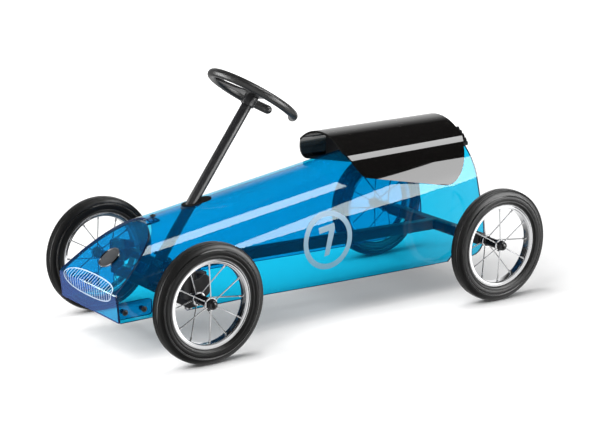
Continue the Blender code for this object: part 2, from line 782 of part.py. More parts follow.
# Frame, axle and king pins
def build_frame():
    front = FRONT_AXLE_Y
    rear = REAR_AXLE_Y
    half = BEAM / 2
    axle_beam_end = KINGPIN_OFFSET + BEAM_END
    frame = box(
        "chassis_frame",
        (-axle_beam_end, front - AXLE_BEAM / 2, BEAM_TOP - AXLE_BEAM),
        (axle_beam_end, front + AXLE_BEAM / 2, BEAM_TOP),
    )
    rail = box(
        "rail", (-half, front - RAIL_FRONT, RAIL_TOP - BEAM), (half, front + RAIL_REAR, RAIL_TOP)
    )
    main = side_prism(
        "main_beam",
        [
            (front + MAIN_BEAM_FRONT, MAIN_BEAM_FRONT_HEIGHT - half),
            (rear, AXLE_HEIGHT - half),
            (rear, AXLE_HEIGHT + half),
            (front + MAIN_BEAM_FRONT, MAIN_BEAM_FRONT_HEIGHT + half),
        ],
        -half + GAP / 2,
        half - GAP / 2,
    )
    cross_end = REAR_TRACK / 2 - CROSS_BEAM_END
    cross = box(
        "cross_beam",
        (-cross_end, rear - half, AXLE_HEIGHT - half - GAP / 2),
        (cross_end, rear + half, AXLE_HEIGHT + half - GAP / 2),
    )
    join(frame, rail, main, cross)
    drill_end = REAR_TRACK / 2
    bore = AXLE_RADIUS + GAP
    cut(
        frame,
        rod("axle_bore", (-drill_end, rear, AXLE_HEIGHT), (drill_end, rear, AXLE_HEIGHT), bore, ROUND_STEPS),
    )
    for side in (-1, 1):
        x = side * KINGPIN_OFFSET
        drill = rod("kingpin_bore", (x, front, 0.05), (x, front, 0.15), KINGPIN_RADIUS + GAP, ROUND_STEPS)
        cut(frame, drill)
    finished(frame, "chassis_frame", "frame_black")
    axle_end = REAR_TRACK / 2 + HUB_OUTER_REACH + AXLE_CAP_GRIP
    left = (axle_end, rear, AXLE_HEIGHT)
    right = (-axle_end, rear, AXLE_HEIGHT)
    axle = rod("rear_axle", right, left, AXLE_RADIUS, ROUND_STEPS)
    finished(axle, "rear_axle", "chrome")


def build_kingpin(side, side_name):
    """The upright pin that a front wheel steers round, with its head and its nut."""
    top = KNUCKLE_TOP + GAP
    bottom = BEAM_TOP - AXLE_BEAM - GAP
    head = KINGPIN_HEAD_RADIUS
    profile = [(0, top + KINGPIN_HEAD), (head * 0.7, top + KINGPIN_HEAD), (head, top + 0.0015)]
    profile += [(head, top), (KINGPIN_RADIUS, top), (KINGPIN_RADIUS, bottom)]
    profile += [(head * 0.9, bottom), (head * 0.9, bottom - KINGPIN_HEAD), (0, bottom - KINGPIN_HEAD)]
    pin = turned("kingpin", profile, ROUND_STEPS, closed=False)
    pin.matrix_world = Matrix.Translation((side * KINGPIN_OFFSET, FRONT_AXLE_Y, 0))
    finished(pin, "kingpin_" + side_name, "frame_black")


# Steering knuckles, drawn for the left wheel with the king pin at the origin
def knuckle_mesh():
    low = BEAM_TOP + GAP
    boss = rod("knuckle", (0, 0, low), (0, 0, KNUCKLE_TOP), KNUCKLE_BOSS_RADIUS, 16)
    socket_end = FRONT_TRACK / 2 - HUB_INNER_REACH - KINGPIN_OFFSET - GAP
    socket = rod("socket", (0.006, 0, AXLE_HEIGHT), (socket_end, 0, AXLE_HEIGHT), SOCKET_RADIUS, ROUND_STEPS)
    web_top = ARM_TOP - WEB_LOBE_RADIUS
    web_low = low + GAP + WEB_LOBE_RADIUS
    web = arc((WEB_LOBE_BEHIND, web_low), WEB_LOBE_RADIUS, -pi / 2, 0, 4)
    web += arc((WEB_LOBE_BEHIND, web_top), WEB_LOBE_RADIUS, 0, pi / 2, 4)
    web += [(KNUCKLE_BOSS_RADIUS * 0.8, ARM_TOP - 0.008), (0, ARM_TOP - 0.008), (0, low + GAP)]
    web_plate = side_prism("web", web, WEB_INNER, WEB_INNER + WEB_THICKNESS)
    arm_low = BAR_TOP + ARM_CAP
    eye = rod("arm_eye", (0, STEERING_ARM, arm_low), (0, STEERING_ARM, ARM_TOP), ARM_LOBE_RADIUS, 16)
    arm = box(
        "arm",
        (0, STEERING_ARM - ARM_LOBE_RADIUS * 0.96, arm_low + 0.0005),
        (WEB_INNER + OVERLAP, STEERING_ARM + ARM_LOBE_RADIUS * 0.8, ARM_TOP - 0.004),
    )
    pin_low = BAR_BOTTOM - 0.0015
    pin_top = arm_low + OVERLAP
    pin = rod("tie_pin", (0, STEERING_ARM, pin_low), (0, STEERING_ARM, pin_top), TIE_PIN_RADIUS, 10)
    bore = rod("kingpin_bore", (0, 0, 0.05), (0, 0, 0.2), KINGPIN_RADIUS + GAP, ROUND_STEPS)
    seat = (stub_start(), 0, AXLE_HEIGHT)
    axle_bore = rod("stub_bore", seat, (0.05, 0, AXLE_HEIGHT), AXLE_RADIUS + GAP, ROUND_STEPS)
    join(boss, socket, web_plate, arm, eye, pin)
    return shared_mesh(cut(boss, bore, axle_bore))


def stub_start():
    """Where the stub axle's seat begins, outside the king pin's bore."""
    return KINGPIN_RADIUS + GAP + 0.0015


def mirrored(mesh):
    """The same piece for the car's right side."""
    other = mesh.copy()
    other.transform(Matrix.Scale(-1, 4, (1, 0, 0)))
    other.flip_normals()
    return other


def build_knuckle(side, side_name, mesh, pivot):
    knuckle = new_object("knuckle", mesh if side > 0 else mirrored(mesh))
    knuckle.matrix_world = Matrix.Translation((side * KINGPIN_OFFSET, FRONT_AXLE_Y, 0))
    finished(knuckle, "knuckle_" + side_name, "frame_black", pivot)
    start = (side * (KINGPIN_OFFSET + stub_start() + GAP), FRONT_AXLE_Y, AXLE_HEIGHT)
    end = (side * (FRONT_TRACK / 2 + HUB_OUTER_REACH + AXLE_CAP_GRIP), FRONT_AXLE_Y, AXLE_HEIGHT)
    axle = rod("stub", start, end, AXLE_RADIUS, ROUND_STEPS)
    finished(axle, "stub_axle_" + side_name, "chrome", pivot)


def long_hole(x, straight, radius):
    """An outline with two straight sides along Y and round ends, centred on x."""
    outline = arc((x, straight), radius, 0, pi, 6)
    return outline + arc((x, -straight), radius, pi, 2 * pi, 6)


# Steering bar that ties both knuckles to the column
def build_bar(pivot):
    half = BAR_DEPTH / 2
    y = FRONT_AXLE_Y + STEERING_ARM
    middle_z = (BAR_BOTTOM + BAR_TOP) / 2
    slot_half_width = TIE_PIN_RADIUS + TIE_PIN_PLAY
    swing = STEERING_ARM * (1 - cos(STEER_ANGLE))
    slot_half_length = TIE_PIN_RADIUS + swing + GAP
    bar_end = KINGPIN_OFFSET - slot_half_width
    bar = box("steering_bar", (-bar_end, y - half, BAR_BOTTOM), (bar_end, y + half, BAR_TOP))
    place = Matrix.Translation((0, y, middle_z))
    straight = slot_half_length - slot_half_width
    for side in (-1, 1):
        x = side * KINGPIN_OFFSET
        eye = long_hole(x, straight, slot_half_width + EYE_WALL)
        join(bar, flat_plate("bar_eye", eye, BAR_HEIGHT - 2 * GAP, place))
    for side in (-1, 1):
        slot = long_hole(side * KINGPIN_OFFSET, straight, slot_half_width)
        cut(bar, flat_plate("bar_slot", slot, 2 * BAR_HEIGHT, place))
    boss = rod(
        "drive_boss",
        on_column(DRIVE_BOSS_START, DRIVE_RADIUS),
        on_column(ARM_START - DRIVE_BOSS_GAP, DRIVE_RADIUS),
        DRIVE_BOSS_RADIUS,
        ROUND_STEPS,
    )
    pin = rod(
        "drive_pin",
        on_column(DRIVE_BOSS_START + OVERLAP, DRIVE_RADIUS),
        on_column(ARM_START + ARM_THICKNESS + DRIVE_PIN_RISE, DRIVE_RADIUS),
        DRIVE_PIN_RADIUS,
        10,
    )
    join(bar, boss, pin)
    finished(bar, "steering_bar", "frame_black", pivot)


# Column, its foot bearing and the arm that drives the bar
def build_column(pivot):
    foot = rod("foot", on_column(0.0), on_column(FOOT_END), FOOT_RADIUS, 20)
    level = RAIL_TOP + GAP
    cut(foot, box("foot_cut", (-0.05, -1, level - 0.1), (0.05, 1, level)))
    cut(foot, rod("foot_bore", on_column(-0.01), on_column(0.06), SPINDLE_RADIUS + GAP, 16))
    finished(foot, "foot_bearing", "frame_black")

    plug_radius = COLUMN_RADIUS - COLUMN_WALL - GAP
    plug_top = COLUMN_START + SPINDLE_PLUG
    profile = [(0, plug_top), (plug_radius - 0.001, plug_top), (plug_radius, plug_top - 0.001)]
    profile += [(plug_radius, COLUMN_START + GAP), (SPINDLE_RADIUS, COLUMN_START + GAP)]
    profile += [(SPINDLE_RADIUS, SPINDLE_START), (0, SPINDLE_START)]
    spindle = turned("spindle", profile, 16, closed=False)
    spindle.matrix_world = column_place(0)
    finished(spindle, "steering_spindle", "chrome", pivot)

    low = FOOT_END + GAP
    high = COLUMN_START - GAP
    bore = SPINDLE_RADIUS + GAP
    profile = [(bore, high), (COLLAR_RADIUS, high), (COLLAR_RADIUS, low), (bore, low)]
    collar = turned("collar", profile, 16, closed=True)
    collar.matrix_world = column_place(0)
    finished(collar, "spacer_collar", "frame_black", pivot)

    top = RING_CENTRE - OVERLAP
    inner = COLUMN_RADIUS - COLUMN_WALL
    profile = [(inner, top), (COLUMN_RADIUS, top), (COLUMN_RADIUS, COLUMN_START)]
    profile += [(inner, COLUMN_START)]
    tube = turned("column", profile, 20, closed=True)
    tube.matrix_world = column_place(0)
    finished(tube, "steering_column", "steering_black", pivot)

    pin_far = DRIVE_RADIUS / cos(COLUMN_ANGLE)
    slot_half = DRIVE_PIN_RADIUS + ARM_SLOT_PLAY
    slot_near = DRIVE_RADIUS - DRIVE_PIN_RADIUS - GAP
    slot_far = pin_far + DRIVE_PIN_RADIUS + GAP
    arm_half = slot_half + ARM_SLOT_WALL
    outline = arc((0, 0), ARM_HUB_RADIUS, pi - 0.55, 2 * pi + 0.55, 16)
    outline += arc((0, ARM_REACH - arm_half), arm_half, 0, pi, 8)
    place = column_place(ARM_START + ARM_THICKNESS / 2)
    arm = flat_plate("pitman_arm", outline, ARM_THICKNESS, place)
    slot = arc((0, slot_far - slot_half), slot_half, 0, pi, 6)
    slot += arc((0, slot_near + slot_half), slot_half, pi, 2 * pi, 6)
    cut(arm, flat_plate("arm_slot", slot, 2 * ARM_THICKNESS, place))
    cut(arm, rod("arm_bore", on_column(0.04), on_column(0.07), COLUMN_RADIUS + GAP, 20))
    finished(arm, "steering_arm", "frame_black", pivot)


def ring_points():
    """Places round the open ring with the share of full thickness, round at both ends."""
    start = -pi / 2 + RING_OPENING / 2
    end = 3 * pi / 2 - RING_OPENING / 2
    end_angle = RING_TUBE / RING_RADIUS
    tips = (0.02, 0.12, 0.35, 0.65)
    rows = [(start + end_angle * t, sqrt(1 - (1 - t) ** 2)) for t in tips]
    steps = 26
    span = (end - start - 2 * end_angle) / steps
    rows += [(start + end_angle + span * i, 1.0) for i in range(steps + 1)]
    rows += [(end - end_angle * t, sqrt(1 - (1 - t) ** 2)) for t in reversed(tips)]
    return rows


def build_ring(pivot):
    curve = bpy.data.curves.new("ring", "CURVE")
    curve.dimensions = "3D"
    curve.bevel_depth = RING_TUBE
    curve.bevel_resolution = 3
    curve.use_fill_caps = True
    spline = curve.splines.new("POLY")
    rows = ring_points()
    spline.points.add(len(rows) - 1)
    for point, (angle, share) in zip(spline.points, rows):
        point.co = (RING_RADIUS * cos(angle), -RING_RADIUS * sin(angle), 0, 1)
        point.radius = share
    ring = meshed(new_object("ring", curve), column_place(RING_CENTRE))
    finished(ring, "steering_ring", "steering_black", pivot, sharp=60)


def spoke_plate_outline():
    """The two swept spokes in the ring's plane, y behind the column, from the front middle."""
    start = SPOKE_FRONT_MIDDLE
    tip = SPOKE_FRONT_TIP
    front = bezier(start, between(start, tip, 0.27, 0.04), between(start, tip, 0.56, 0.46), tip, 5)
    start = SPOKE_REAR_TIP
    end = SPOKE_REAR_MIDDLE
    rear = bezier(start, between(start, end, 0.35, 0.43), between(start, end, 0.6, 0.55), end, 6)
    right_half = front + rear
    left_half = [(-x, y) for x, y in reversed(right_half[1:-1])]
    return right_half + left_half


def build_hub(pivot):
    low = RING_CENTRE - HUB_BARREL_LENGTH
    high = RING_CENTRE + SPOKE_PLATE / 2 + 0.001
    radius = HUB_BARREL_RADIUS
    bore = COLUMN_RADIUS + GAP
    bore_top = RING_CENTRE - OVERLAP + GAP
    profile = [(0, high), (radius - 0.0015, high), (radius, high - 0.0015), (radius, low)]
    profile += [(bore, low), (bore, bore_top), (0, bore_top)]
    hub = turned("hub", profile, 24, closed=False)
    place = column_place(0)
    hub.matrix_world = place
    plate = flat_plate("spoke_plate", spoke_plate_outline(), SPOKE_PLATE, column_place(RING_CENTRE))
    cut(plate, rod("plate_bore", on_column(low), on_column(bore_top), bore + OVERLAP / 2, 24))
    bpy.ops.mesh.primitive_torus_add(
        major_segments=60, minor_segments=16, major_radius=RING_RADIUS, minor_radius=RING_TUBE + GAP * 2
    )
    room = bpy.context.object
    room.name = "ring_room"
    for collection in list(room.users_collection):
        collection.objects.unlink(room)
    cutters.objects.link(room)
    room.hide_render = True
    room.display_type = "WIRE"
    room.matrix_world = column_place(RING_CENTRE)
    cut(plate, room)
    join(hub, plate)
    finished(hub, "steering_hub", "steering_black", pivot)


def build_column_collar():
    """The oval collar on the ridge that the column passes through."""
    ridge_share = (COLUMN_FOOT.y - FRONT_AXLE_Y) * tan(RIDGE_SLOPE) + RIDGE_HEIGHT - COLUMN_FOOT.z
    rise = ridge_share / (1 - tan(COLUMN_TILT) * tan(RIDGE_SLOPE))
    y = COLUMN_FOOT.y + rise * tan(COLUMN_TILT) + COLLAR_REAR_SHIFT
    half = (COLLAR_LENGTH - COLLAR_WIDTH) / 2
    outline = arc((0, half), COLLAR_WIDTH / 2, 0, pi, 10)
    outline += arc((0, -half), COLLAR_WIDTH / 2, pi, 2 * pi, 10)
    place = Matrix.Translation((0, y, ridge_z(y))) @ Matrix.Rotation(RIDGE_SLOPE, 4, "X")
    oval = flat_plate("collar_oval", outline, 0.04, place)
    outside = BODY_HALF_WIDTH + GAP + COLLAR_PROUD
    collar = arch_block("column_collar", outside, BODY_PLACE)
    keep_inside(collar, oval)
    cut(collar, arch_block("collar_seat", BODY_HALF_WIDTH + GAP, BODY_PLACE))
    sleeve = arch_block("collar_sleeve", outside - 0.001, BODY_PLACE)
    keep_inside(sleeve, column_hole("sleeve_outside", SLEEVE_RADIUS))
    cut(sleeve, arch_block("sleeve_end", BODY_HALF_WIDTH - SHEET - SLEEVE_DEPTH, BODY_PLACE))
    join(collar, sleeve)
    cut(collar, column_hole("collar_bore", COLUMN_RADIUS + GAP))
    finished(collar, "column_collar", "rubber")


# Wheels, drawn with the axle along Z and the outer side up
def tyre_mesh():
    tread = TYRE_RADIUS / cos(pi / WHEEL_STEPS)
    half = TYRE_WIDTH / 2
    channel = RIM_RADIUS - RIM_DEPTH + 2 * RIM_WALL
    lip = RIM_WIDTH / 2 - RIM_WALL
    side = [
        (channel + GAP, lip - RIM_WALL - GAP),
        (RIM_RADIUS + GAP, lip - GAP),
        (RIM_RADIUS + GAP * 2, RIM_WIDTH / 2 + TYRE_LIP),
        (RIM_RADIUS + 0.30 * (tread - RIM_RADIUS), half * 0.96),
        (RIM_RADIUS + 0.62 * (tread - RIM_RADIUS), half),
        (RIM_RADIUS + 0.88 * (tread - RIM_RADIUS), half * 0.78),
        (tread, TREAD_WIDTH / 2),
    ]
    profile = side + [(radius, -height) for radius, height in reversed(side)]
    return turned("tyre", profile, WHEEL_STEPS, closed=True)


def rim_mesh():
    half = RIM_WIDTH / 2
    base = RIM_RADIUS - RIM_DEPTH
    channel = base + 2 * RIM_WALL
    side = [(RIM_RADIUS, half), (RIM_RADIUS, half - RIM_WALL), (channel, half - 2 * RIM_WALL)]
    back = [(base + RIM_WALL, half * 0.9), (base, half * 0.45)]
    profile = side + [(radius, -height) for radius, height in reversed(side)]
    profile += [(radius, -height) for radius, height in back] + list(reversed(back))
    return turned("rim", profile, WHEEL_STEPS, closed=True)


def hub_mesh():
    """The hub with its two flanges, and spokes that lean by turns to one flange and the other."""
    bore = AXLE_RADIUS + GAP
    profile = [(bore, HUB_OUTER_REACH)]
    profile += [(HUB_RADIUS, HUB_OUTER_REACH)]
    for offset in (OUTER_FLANGE_OFFSET, INNER_FLANGE_OFFSET):
        high = offset + FLANGE_THICKNESS / 2
        low = offset - FLANGE_THICKNESS / 2
        profile += [(HUB_RADIUS, high), (FLANGE_RADIUS, high), (FLANGE_RADIUS, low), (HUB_RADIUS, low)]
    profile += [(HUB_RADIUS, -HUB_INNER_REACH), (bore, -HUB_INNER_REACH)]
    hub = turned("hub", profile, HUB_STEPS, closed=True)
    rim_inside = (RIM_RADIUS - RIM_DEPTH) * cos(pi / WHEEL_STEPS) - GAP
    for number in range(SPOKE_COUNT):
        angle = 2 * pi * number / SPOKE_COUNT
        offset = INNER_FLANGE_OFFSET if number % 2 else OUTER_FLANGE_OFFSET
        lean = -SPOKE_RADIUS if number % 2 else SPOKE_RADIUS
        tilt = atan2(abs(offset - lean), rim_inside - SPOKE_CIRCLE)
        outward = Vector((cos(angle), sin(angle), 0))
        start = outward * SPOKE_CIRCLE + Vector((0, 0, offset))
        end = outward * (rim_inside - SPOKE_RADIUS * sin(tilt)) + Vector((0, 0, lean))
        join(hub, rod("spoke", start, end, SPOKE_RADIUS, SPOKE_SIDES))
    return hub


def cap_mesh():
    """A domed cap that grips the axle's end. It stands on Z = 0 and closes upwards."""
    bore = AXLE_RADIUS + GAP
    depth = AXLE_CAP_GRIP
    radius = AXLE_CAP_RADIUS
    high = AXLE_CAP_LENGTH
    profile = [(0, high), (radius * 0.62, high * 0.93), (radius * 0.92, high * 0.66)]
    profile += [(radius, high * 0.3), (radius * 0.96, 0), (bore, 0), (bore, depth), (0, depth)]
    return turned("cap", profile, ROUND_STEPS, closed=False)


def wheel_places():
    """Each wheel's name, side, axle place along the car and distance of its middle from the centre."""
    ends = (("front", FRONT_AXLE_Y, FRONT_TRACK), ("rear", REAR_AXLE_Y, REAR_TRACK))
    for end_name, y, track in ends:
        for side_name, side in (("left", 1), ("right", -1)):
            yield end_name + "_" + side_name, side, y, track / 2


def wheel_turn(side):
    """Turns a drawn wheel so that its upper side faces outwards and a flat of its tread is down."""
    axis_out = Matrix(((0, 0, 1, 0), (0, 1, 0, 0), (-1, 0, 0, 0), (0, 0, 0, 1)))
    half_step = Matrix.Rotation(pi / WHEEL_STEPS, 4, "X")
    about = Matrix.Rotation(0 if side > 0 else pi, 4, "Z")
    return about @ half_step @ axis_out


def build_wheels(knuckle_pivots):
    tyre = shared_mesh(tyre_mesh())
    rim = shared_mesh(rim_mesh())
    hub = shared_mesh(hub_mesh())
    cap = shared_mesh(cap_mesh())
    for name, side, y, middle in wheel_places():
        centre = Vector((side * middle, y, AXLE_HEIGHT))
        carrier = knuckle_pivots.get(side) if name.startswith("front") else None
        pivot = empty("axis_" + name + "_wheel", Matrix.Translation(centre), carrier)
        place = Matrix.Translation(centre) @ wheel_turn(side)
        unstepped = place @ Matrix.Rotation(-pi / WHEEL_STEPS, 4, "Z")
        for mesh, piece, finish, where in (
            (tyre, "tyre_", "rubber", place),
            (rim, "rim_", "chrome", place),
            (hub, "hub_", "chrome", unstepped),
        ):
            obj = new_object(piece, mesh.copy())
            obj.matrix_world = where
            finished(obj, piece + name, finish, pivot)
        cap_foot = Matrix.Translation((0, 0, HUB_OUTER_REACH + GAP))
        obj = new_object("cap", cap.copy())
        obj.matrix_world = place @ cap_foot
        finished(obj, "axle_cap_" + name, "screw_black", carrier)


# The whole car
build_body()
build_nose()
build_screws()
build_disc()
build_seat()
rear_support_end = REAR_AXLE_Y + REAR_SUPPORT_REAR
rear_support_start = rear_support_end - SUPPORT_LENGTH
build_support("seat_support_rear", rear_support_start, rear_support_end, REAR_SUPPORT_HALF_WIDTH)
front_support_start = REAR_AXLE_Y - SEAT_LENGTH + FRONT_SUPPORT_SET_BACK
front_support_end = front_support_start + SUPPORT_LENGTH
build_support("seat_support_front", front_support_start, front_support_end, FRONT_SUPPORT_HALF_WIDTH)
build_frame()
column_pivot = empty("axis_steering_column", column_place(0))
bar_pivot = empty("axis_steering_bar", Matrix.Translation((0, FRONT_AXLE_Y + STEERING_ARM, BAR_BOTTOM)))
build_column(column_pivot)
build_ring(column_pivot)
build_hub(column_pivot)
build_column_collar()
build_bar(bar_pivot)
knuckles = knuckle_mesh()
pivots = {}
for side, side_name in ((1, "left"), (-1, "right")):
    build_kingpin(side, side_name)
    at_kingpin = Matrix.Translation((side * KINGPIN_OFFSET, FRONT_AXLE_Y, AXLE_HEIGHT))
    pivots[side] = empty("axis_knuckle_" + side_name, at_kingpin)
    build_knuckle(side, side_name, knuckles, pivots[side])
build_wheels(pivots)
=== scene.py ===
# %% [markdown]
# # A ride-on racing car in clear blue sheet
#
# The real car is a flat sheet of clear blue acrylic, cut out and bent over a black steel frame. A gloss
# black seat is bent over it, a raked column carries the steering ring, and four wire wheels carry it all.
#
# The solids of the part come in first, as a fixed frame. Each finer piece is then a surface worked out with
# numpy from the same sizes, and it rides on the body that carries it. All sizes are in metres, +Z is up,
# the car faces -Y and +X is its left side.

# %% The solids that everything hangs on
import json
from math import cos, pi, radians, sin, sqrt, tan

import bpy
import numpy as np
from mathutils import Matrix, Vector
from mathutils.geometry import delaunay_2d_cdt

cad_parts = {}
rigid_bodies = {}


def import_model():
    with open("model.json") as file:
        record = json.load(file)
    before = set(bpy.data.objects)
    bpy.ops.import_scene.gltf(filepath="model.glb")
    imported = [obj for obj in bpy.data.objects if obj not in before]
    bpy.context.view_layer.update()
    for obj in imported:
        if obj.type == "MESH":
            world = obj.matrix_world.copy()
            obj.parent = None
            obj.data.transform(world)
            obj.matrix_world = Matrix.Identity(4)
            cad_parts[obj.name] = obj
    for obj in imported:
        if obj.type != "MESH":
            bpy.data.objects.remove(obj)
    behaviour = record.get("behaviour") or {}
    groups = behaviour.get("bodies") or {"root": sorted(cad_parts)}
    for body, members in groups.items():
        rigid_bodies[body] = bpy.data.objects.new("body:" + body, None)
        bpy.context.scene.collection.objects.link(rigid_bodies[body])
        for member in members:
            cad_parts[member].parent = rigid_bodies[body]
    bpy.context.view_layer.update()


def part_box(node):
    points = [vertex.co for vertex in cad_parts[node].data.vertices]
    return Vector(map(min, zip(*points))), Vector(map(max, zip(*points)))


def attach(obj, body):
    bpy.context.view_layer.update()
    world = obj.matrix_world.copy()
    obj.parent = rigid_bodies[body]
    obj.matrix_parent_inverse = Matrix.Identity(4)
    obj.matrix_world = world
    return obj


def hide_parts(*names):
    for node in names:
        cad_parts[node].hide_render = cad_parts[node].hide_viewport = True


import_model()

# %% [markdown]
# ## The camera
#
# A product photograph is taken from far away with a long lens, so that parallel edges stay nearly
# parallel. Three angles say where such a camera stands: how far it has gone round the object, how high up
# it is, and how much it leans.

# %% The camera
AZIMUTH, ELEVATION, ROLL = radians(54.463), radians(14.897), radians(0.31)
AIM = np.array((0.0097, 0.0043, 0.1880))
DISTANCE, LENS, SENSOR = 3.730, 117.87, 36
scene = bpy.context.scene


def linked(name, data):
    """A new object in the scene."""
    obj = bpy.data.objects.new(name, data)
    scene.collection.objects.link(obj)
    return obj


def framed(first, second, third, place):
    """The matrix that turns an object's own axes into three directions and moves it to a place."""
    columns = np.column_stack([first, second, third, place])
    return Matrix([*columns.tolist(), (0, 0, 0, 1)])


def place_camera():
    """Back points from the object to the camera, and right is turned round it by the lean."""
    back = np.array((sin(AZIMUTH) * cos(ELEVATION), -cos(AZIMUTH) * cos(ELEVATION), sin(ELEVATION)))
    level = np.array((cos(AZIMUTH), sin(AZIMUTH), 0))
    right = cos(ROLL) * level + sin(ROLL) * np.cross(back, level)
    camera = linked("camera", bpy.data.cameras.new("camera"))
    camera.data.lens, camera.data.sensor_width, camera.data.sensor_fit = LENS, SENSOR, "HORIZONTAL"
    camera.matrix_world = framed(right, np.cross(back, right), back, AIM + DISTANCE * back)
    scene.camera = camera


place_camera()
print("camera distance:", DISTANCE, "m, lens:", LENS, "mm")

# %% [markdown]
# ## Sizes
#
# These are the sizes of the solids. The finer pieces use them again, so that each one lies exactly where
# the solid that it stands for is.

# %% Sizes of the solids
GAP, SHEET = 0.0003, 0.004
FRONT_AXLE_Y, REAR_AXLE_Y, AXLE_HEIGHT = -0.3195, 0.3445, 0.110
BODY_HALF_WIDTH = 0.1012
RIDGE_HEIGHT, RIDGE_SLOPE = 0.2236, radians(8.44)
NOSE_SLOPE, NOSE_FOOT, NOSE_LEAN = radians(38.5), 0.072, 0.005
FOLD_HEIGHT, FOLD_RADIUS = 0.1225, 0.007


def fold_set_back():
    """How far the rounded fold's foremost line lies behind the sharp corner of its two panels."""
    down = Vector((NOSE_LEAN, NOSE_FOOT - FOLD_HEIGHT)).normalized()
    up = Vector((cos(NOSE_SLOPE), sin(NOSE_SLOPE)))
    return (down + up).normalized().x * FOLD_RADIUS / sin(down.angle(up) / 2) - FOLD_RADIUS


FOLD_Y = FRONT_AXLE_Y - 0.135 - fold_set_back()
SEAT_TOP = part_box("seat")[1].z
print("fold of the nose:", round(FOLD_Y, 4), "top of the seat:", round(SEAT_TOP, 4))

# %% [markdown]
# ## Surfaces on a grid
#
# Nearly every round piece here is a grid of points, rows by columns, that is worked out in one go. Small
# helpers make it a piece: one numbers the quads between neighbouring points, one joins points that share a
# place, so that seams and poles close, and one turns the faces outwards. The last one makes the object and
# hangs it on its body.

# %% Grids and closed surfaces
def grid_faces(rows, columns, wrap_rows=False, wrap_columns=False):
    """Quads between neighbouring points of a grid that is numbered row by row."""
    i, j = np.meshgrid(np.arange(rows - 1 + wrap_rows), np.arange(columns - 1 + wrap_columns), indexing="ij")
    next_i, next_j = (i + 1) % rows, (j + 1) % columns
    corners = (i * columns + j, i * columns + next_j, next_i * columns + next_j, next_i * columns + j)
    return np.stack(corners, -1).reshape(-1, 4).tolist()


def outwards(points, faces):
    """Turns the faces round where the volume is negative.

    Each face fans out into triangles, and their triple products add up to six times the volume.
    """
    fans = [(face[0], face[i], face[i + 1]) for face in faces for i in range(1, len(face) - 1)]
    a, b, c = points[np.array(fans).T]
    if np.einsum("ij,ij->", a, np.cross(b, c)) < 0:
        faces = [face[::-1] for face in faces]
    return points, faces


def closed(points, faces):
    """Points that share a place become one, and a face keeps each of its corners once."""
    _, first, back = np.unique(np.round(points, 7), axis=0, return_index=True, return_inverse=True)
    corners = [list(dict.fromkeys(face)) for face in back.ravel()[faces].tolist()]
    return outwards(points[first], [face for face in corners if len(face) > 2])


def loft(rows, closed_rows=False):
    """A surface through loops of equal length. Open ends are closed by a flat face each."""
    count, columns = rows.shape[:2]
    points, faces = rows.reshape(-1, 3), grid_faces(count, columns, closed_rows, True)
    if not closed_rows:
        faces += [list(range(columns))[::-1], list(range(len(points) - columns, len(points)))]
    return outwards(points, faces)


# %% A piece from its surfaces
SHARP = radians(35)
total = {"pieces": 0, "triangles": 0}


def hang(name, mesh, body, replaced):
    """Hangs a mesh on its body, hides the solids that it stands for, and measures it."""
    obj = linked(name, mesh)
    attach(obj, body)
    if replaced:
        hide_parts(*replaced)
    triangles = sum(len(face.vertices) - 2 for face in mesh.polygons)
    total["pieces"] += 1
    total["triangles"] += triangles
    size = np.ptp(np.array([corner[:] for corner in obj.bound_box]), axis=0) * 1000
    print(f"{name}: {triangles} triangles, {size[0]:.0f} x {size[1]:.0f} x {size[2]:.0f} mm")


def piece(name, surfaces, material, body, slot, *replaced):
    """One object from closed surfaces, with round faces smooth and edges over SHARP kept sharp."""
    points, faces = [], []
    for surface_points, surface_faces in surfaces:
        start = sum(map(len, points))
        points.append(surface_points)
        faces += [[start + corner for corner in face] for face in surface_faces]
    mesh = bpy.data.meshes.new(name)
    mesh.from_pydata(np.concatenate(points).tolist(), [], faces)
    mesh.materials.append(material)
    mesh.shade_smooth()
    mesh.set_sharp_from_angle(angle=SHARP)
    hang(name, mesh, body, replaced)


# %% [markdown]
# ## Lathe, rod, plate and tube
#
# Turned parts are a profile carried round an axis, and a rod is one with a plain profile. Flat parts cut
# from plate are an outline whose edge is rounded over by a few inset copies of it. A square tube is such a
# plate too: a rounded square, as thick as the tube is long.

# %% Directions and lines
def unit(vectors):
    """The same directions, with the length 1."""
    return vectors / np.linalg.norm(vectors, axis=-1, keepdims=True)


def across(axis):
    """An axis and two directions square to it and to each other."""
    axis = unit(np.array(axis, float))
    helper = np.array((1.0, 0, 0)) if abs(axis[0]) < 0.9 else np.array((0, 1.0, 0))
    first = unit(helper - axis * (helper @ axis))
    return axis, first, np.cross(axis, first)


def in_frame(origin, *axes):
    """A function that turns points counted along three axes from an origin into points of the car."""
    return lambda local: np.array(origin) + local @ np.array(axes, float)


def arc(centre, radius, start, end, steps):
    """Points on an arc in a plane: centre + radius * (cos angle, sin angle)."""
    angle = np.linspace(start, end, steps + 1)
    return np.array(centre) + radius * np.stack([np.cos(angle), np.sin(angle)], -1)


def circle(centre, radius, steps=20):
    return arc(centre, radius, 0, 2 * pi, steps)[:-1]


def curve_through(points, steps):
    """A smooth line through points: each stretch is a cubic whose slopes come from its neighbours."""
    points = np.array(points, float)
    padded = np.concatenate([2 * points[:1] - points[1:2], points, 2 * points[-1:] - points[-2:-1]])
    a, b, c, d = (padded[i:len(padded) - 3 + i, None] for i in range(4))
    t = np.linspace(0, 1, steps, endpoint=False)[None, :, None]
    rows = 0.5 * (2 * b + (c - a) * t + (2 * a - 5 * b + 4 * c - d) * t**2 + (3 * b - a - 3 * c + d) * t**3)
    return np.concatenate([rows.reshape(-1, points.shape[1]), points[-1:]])


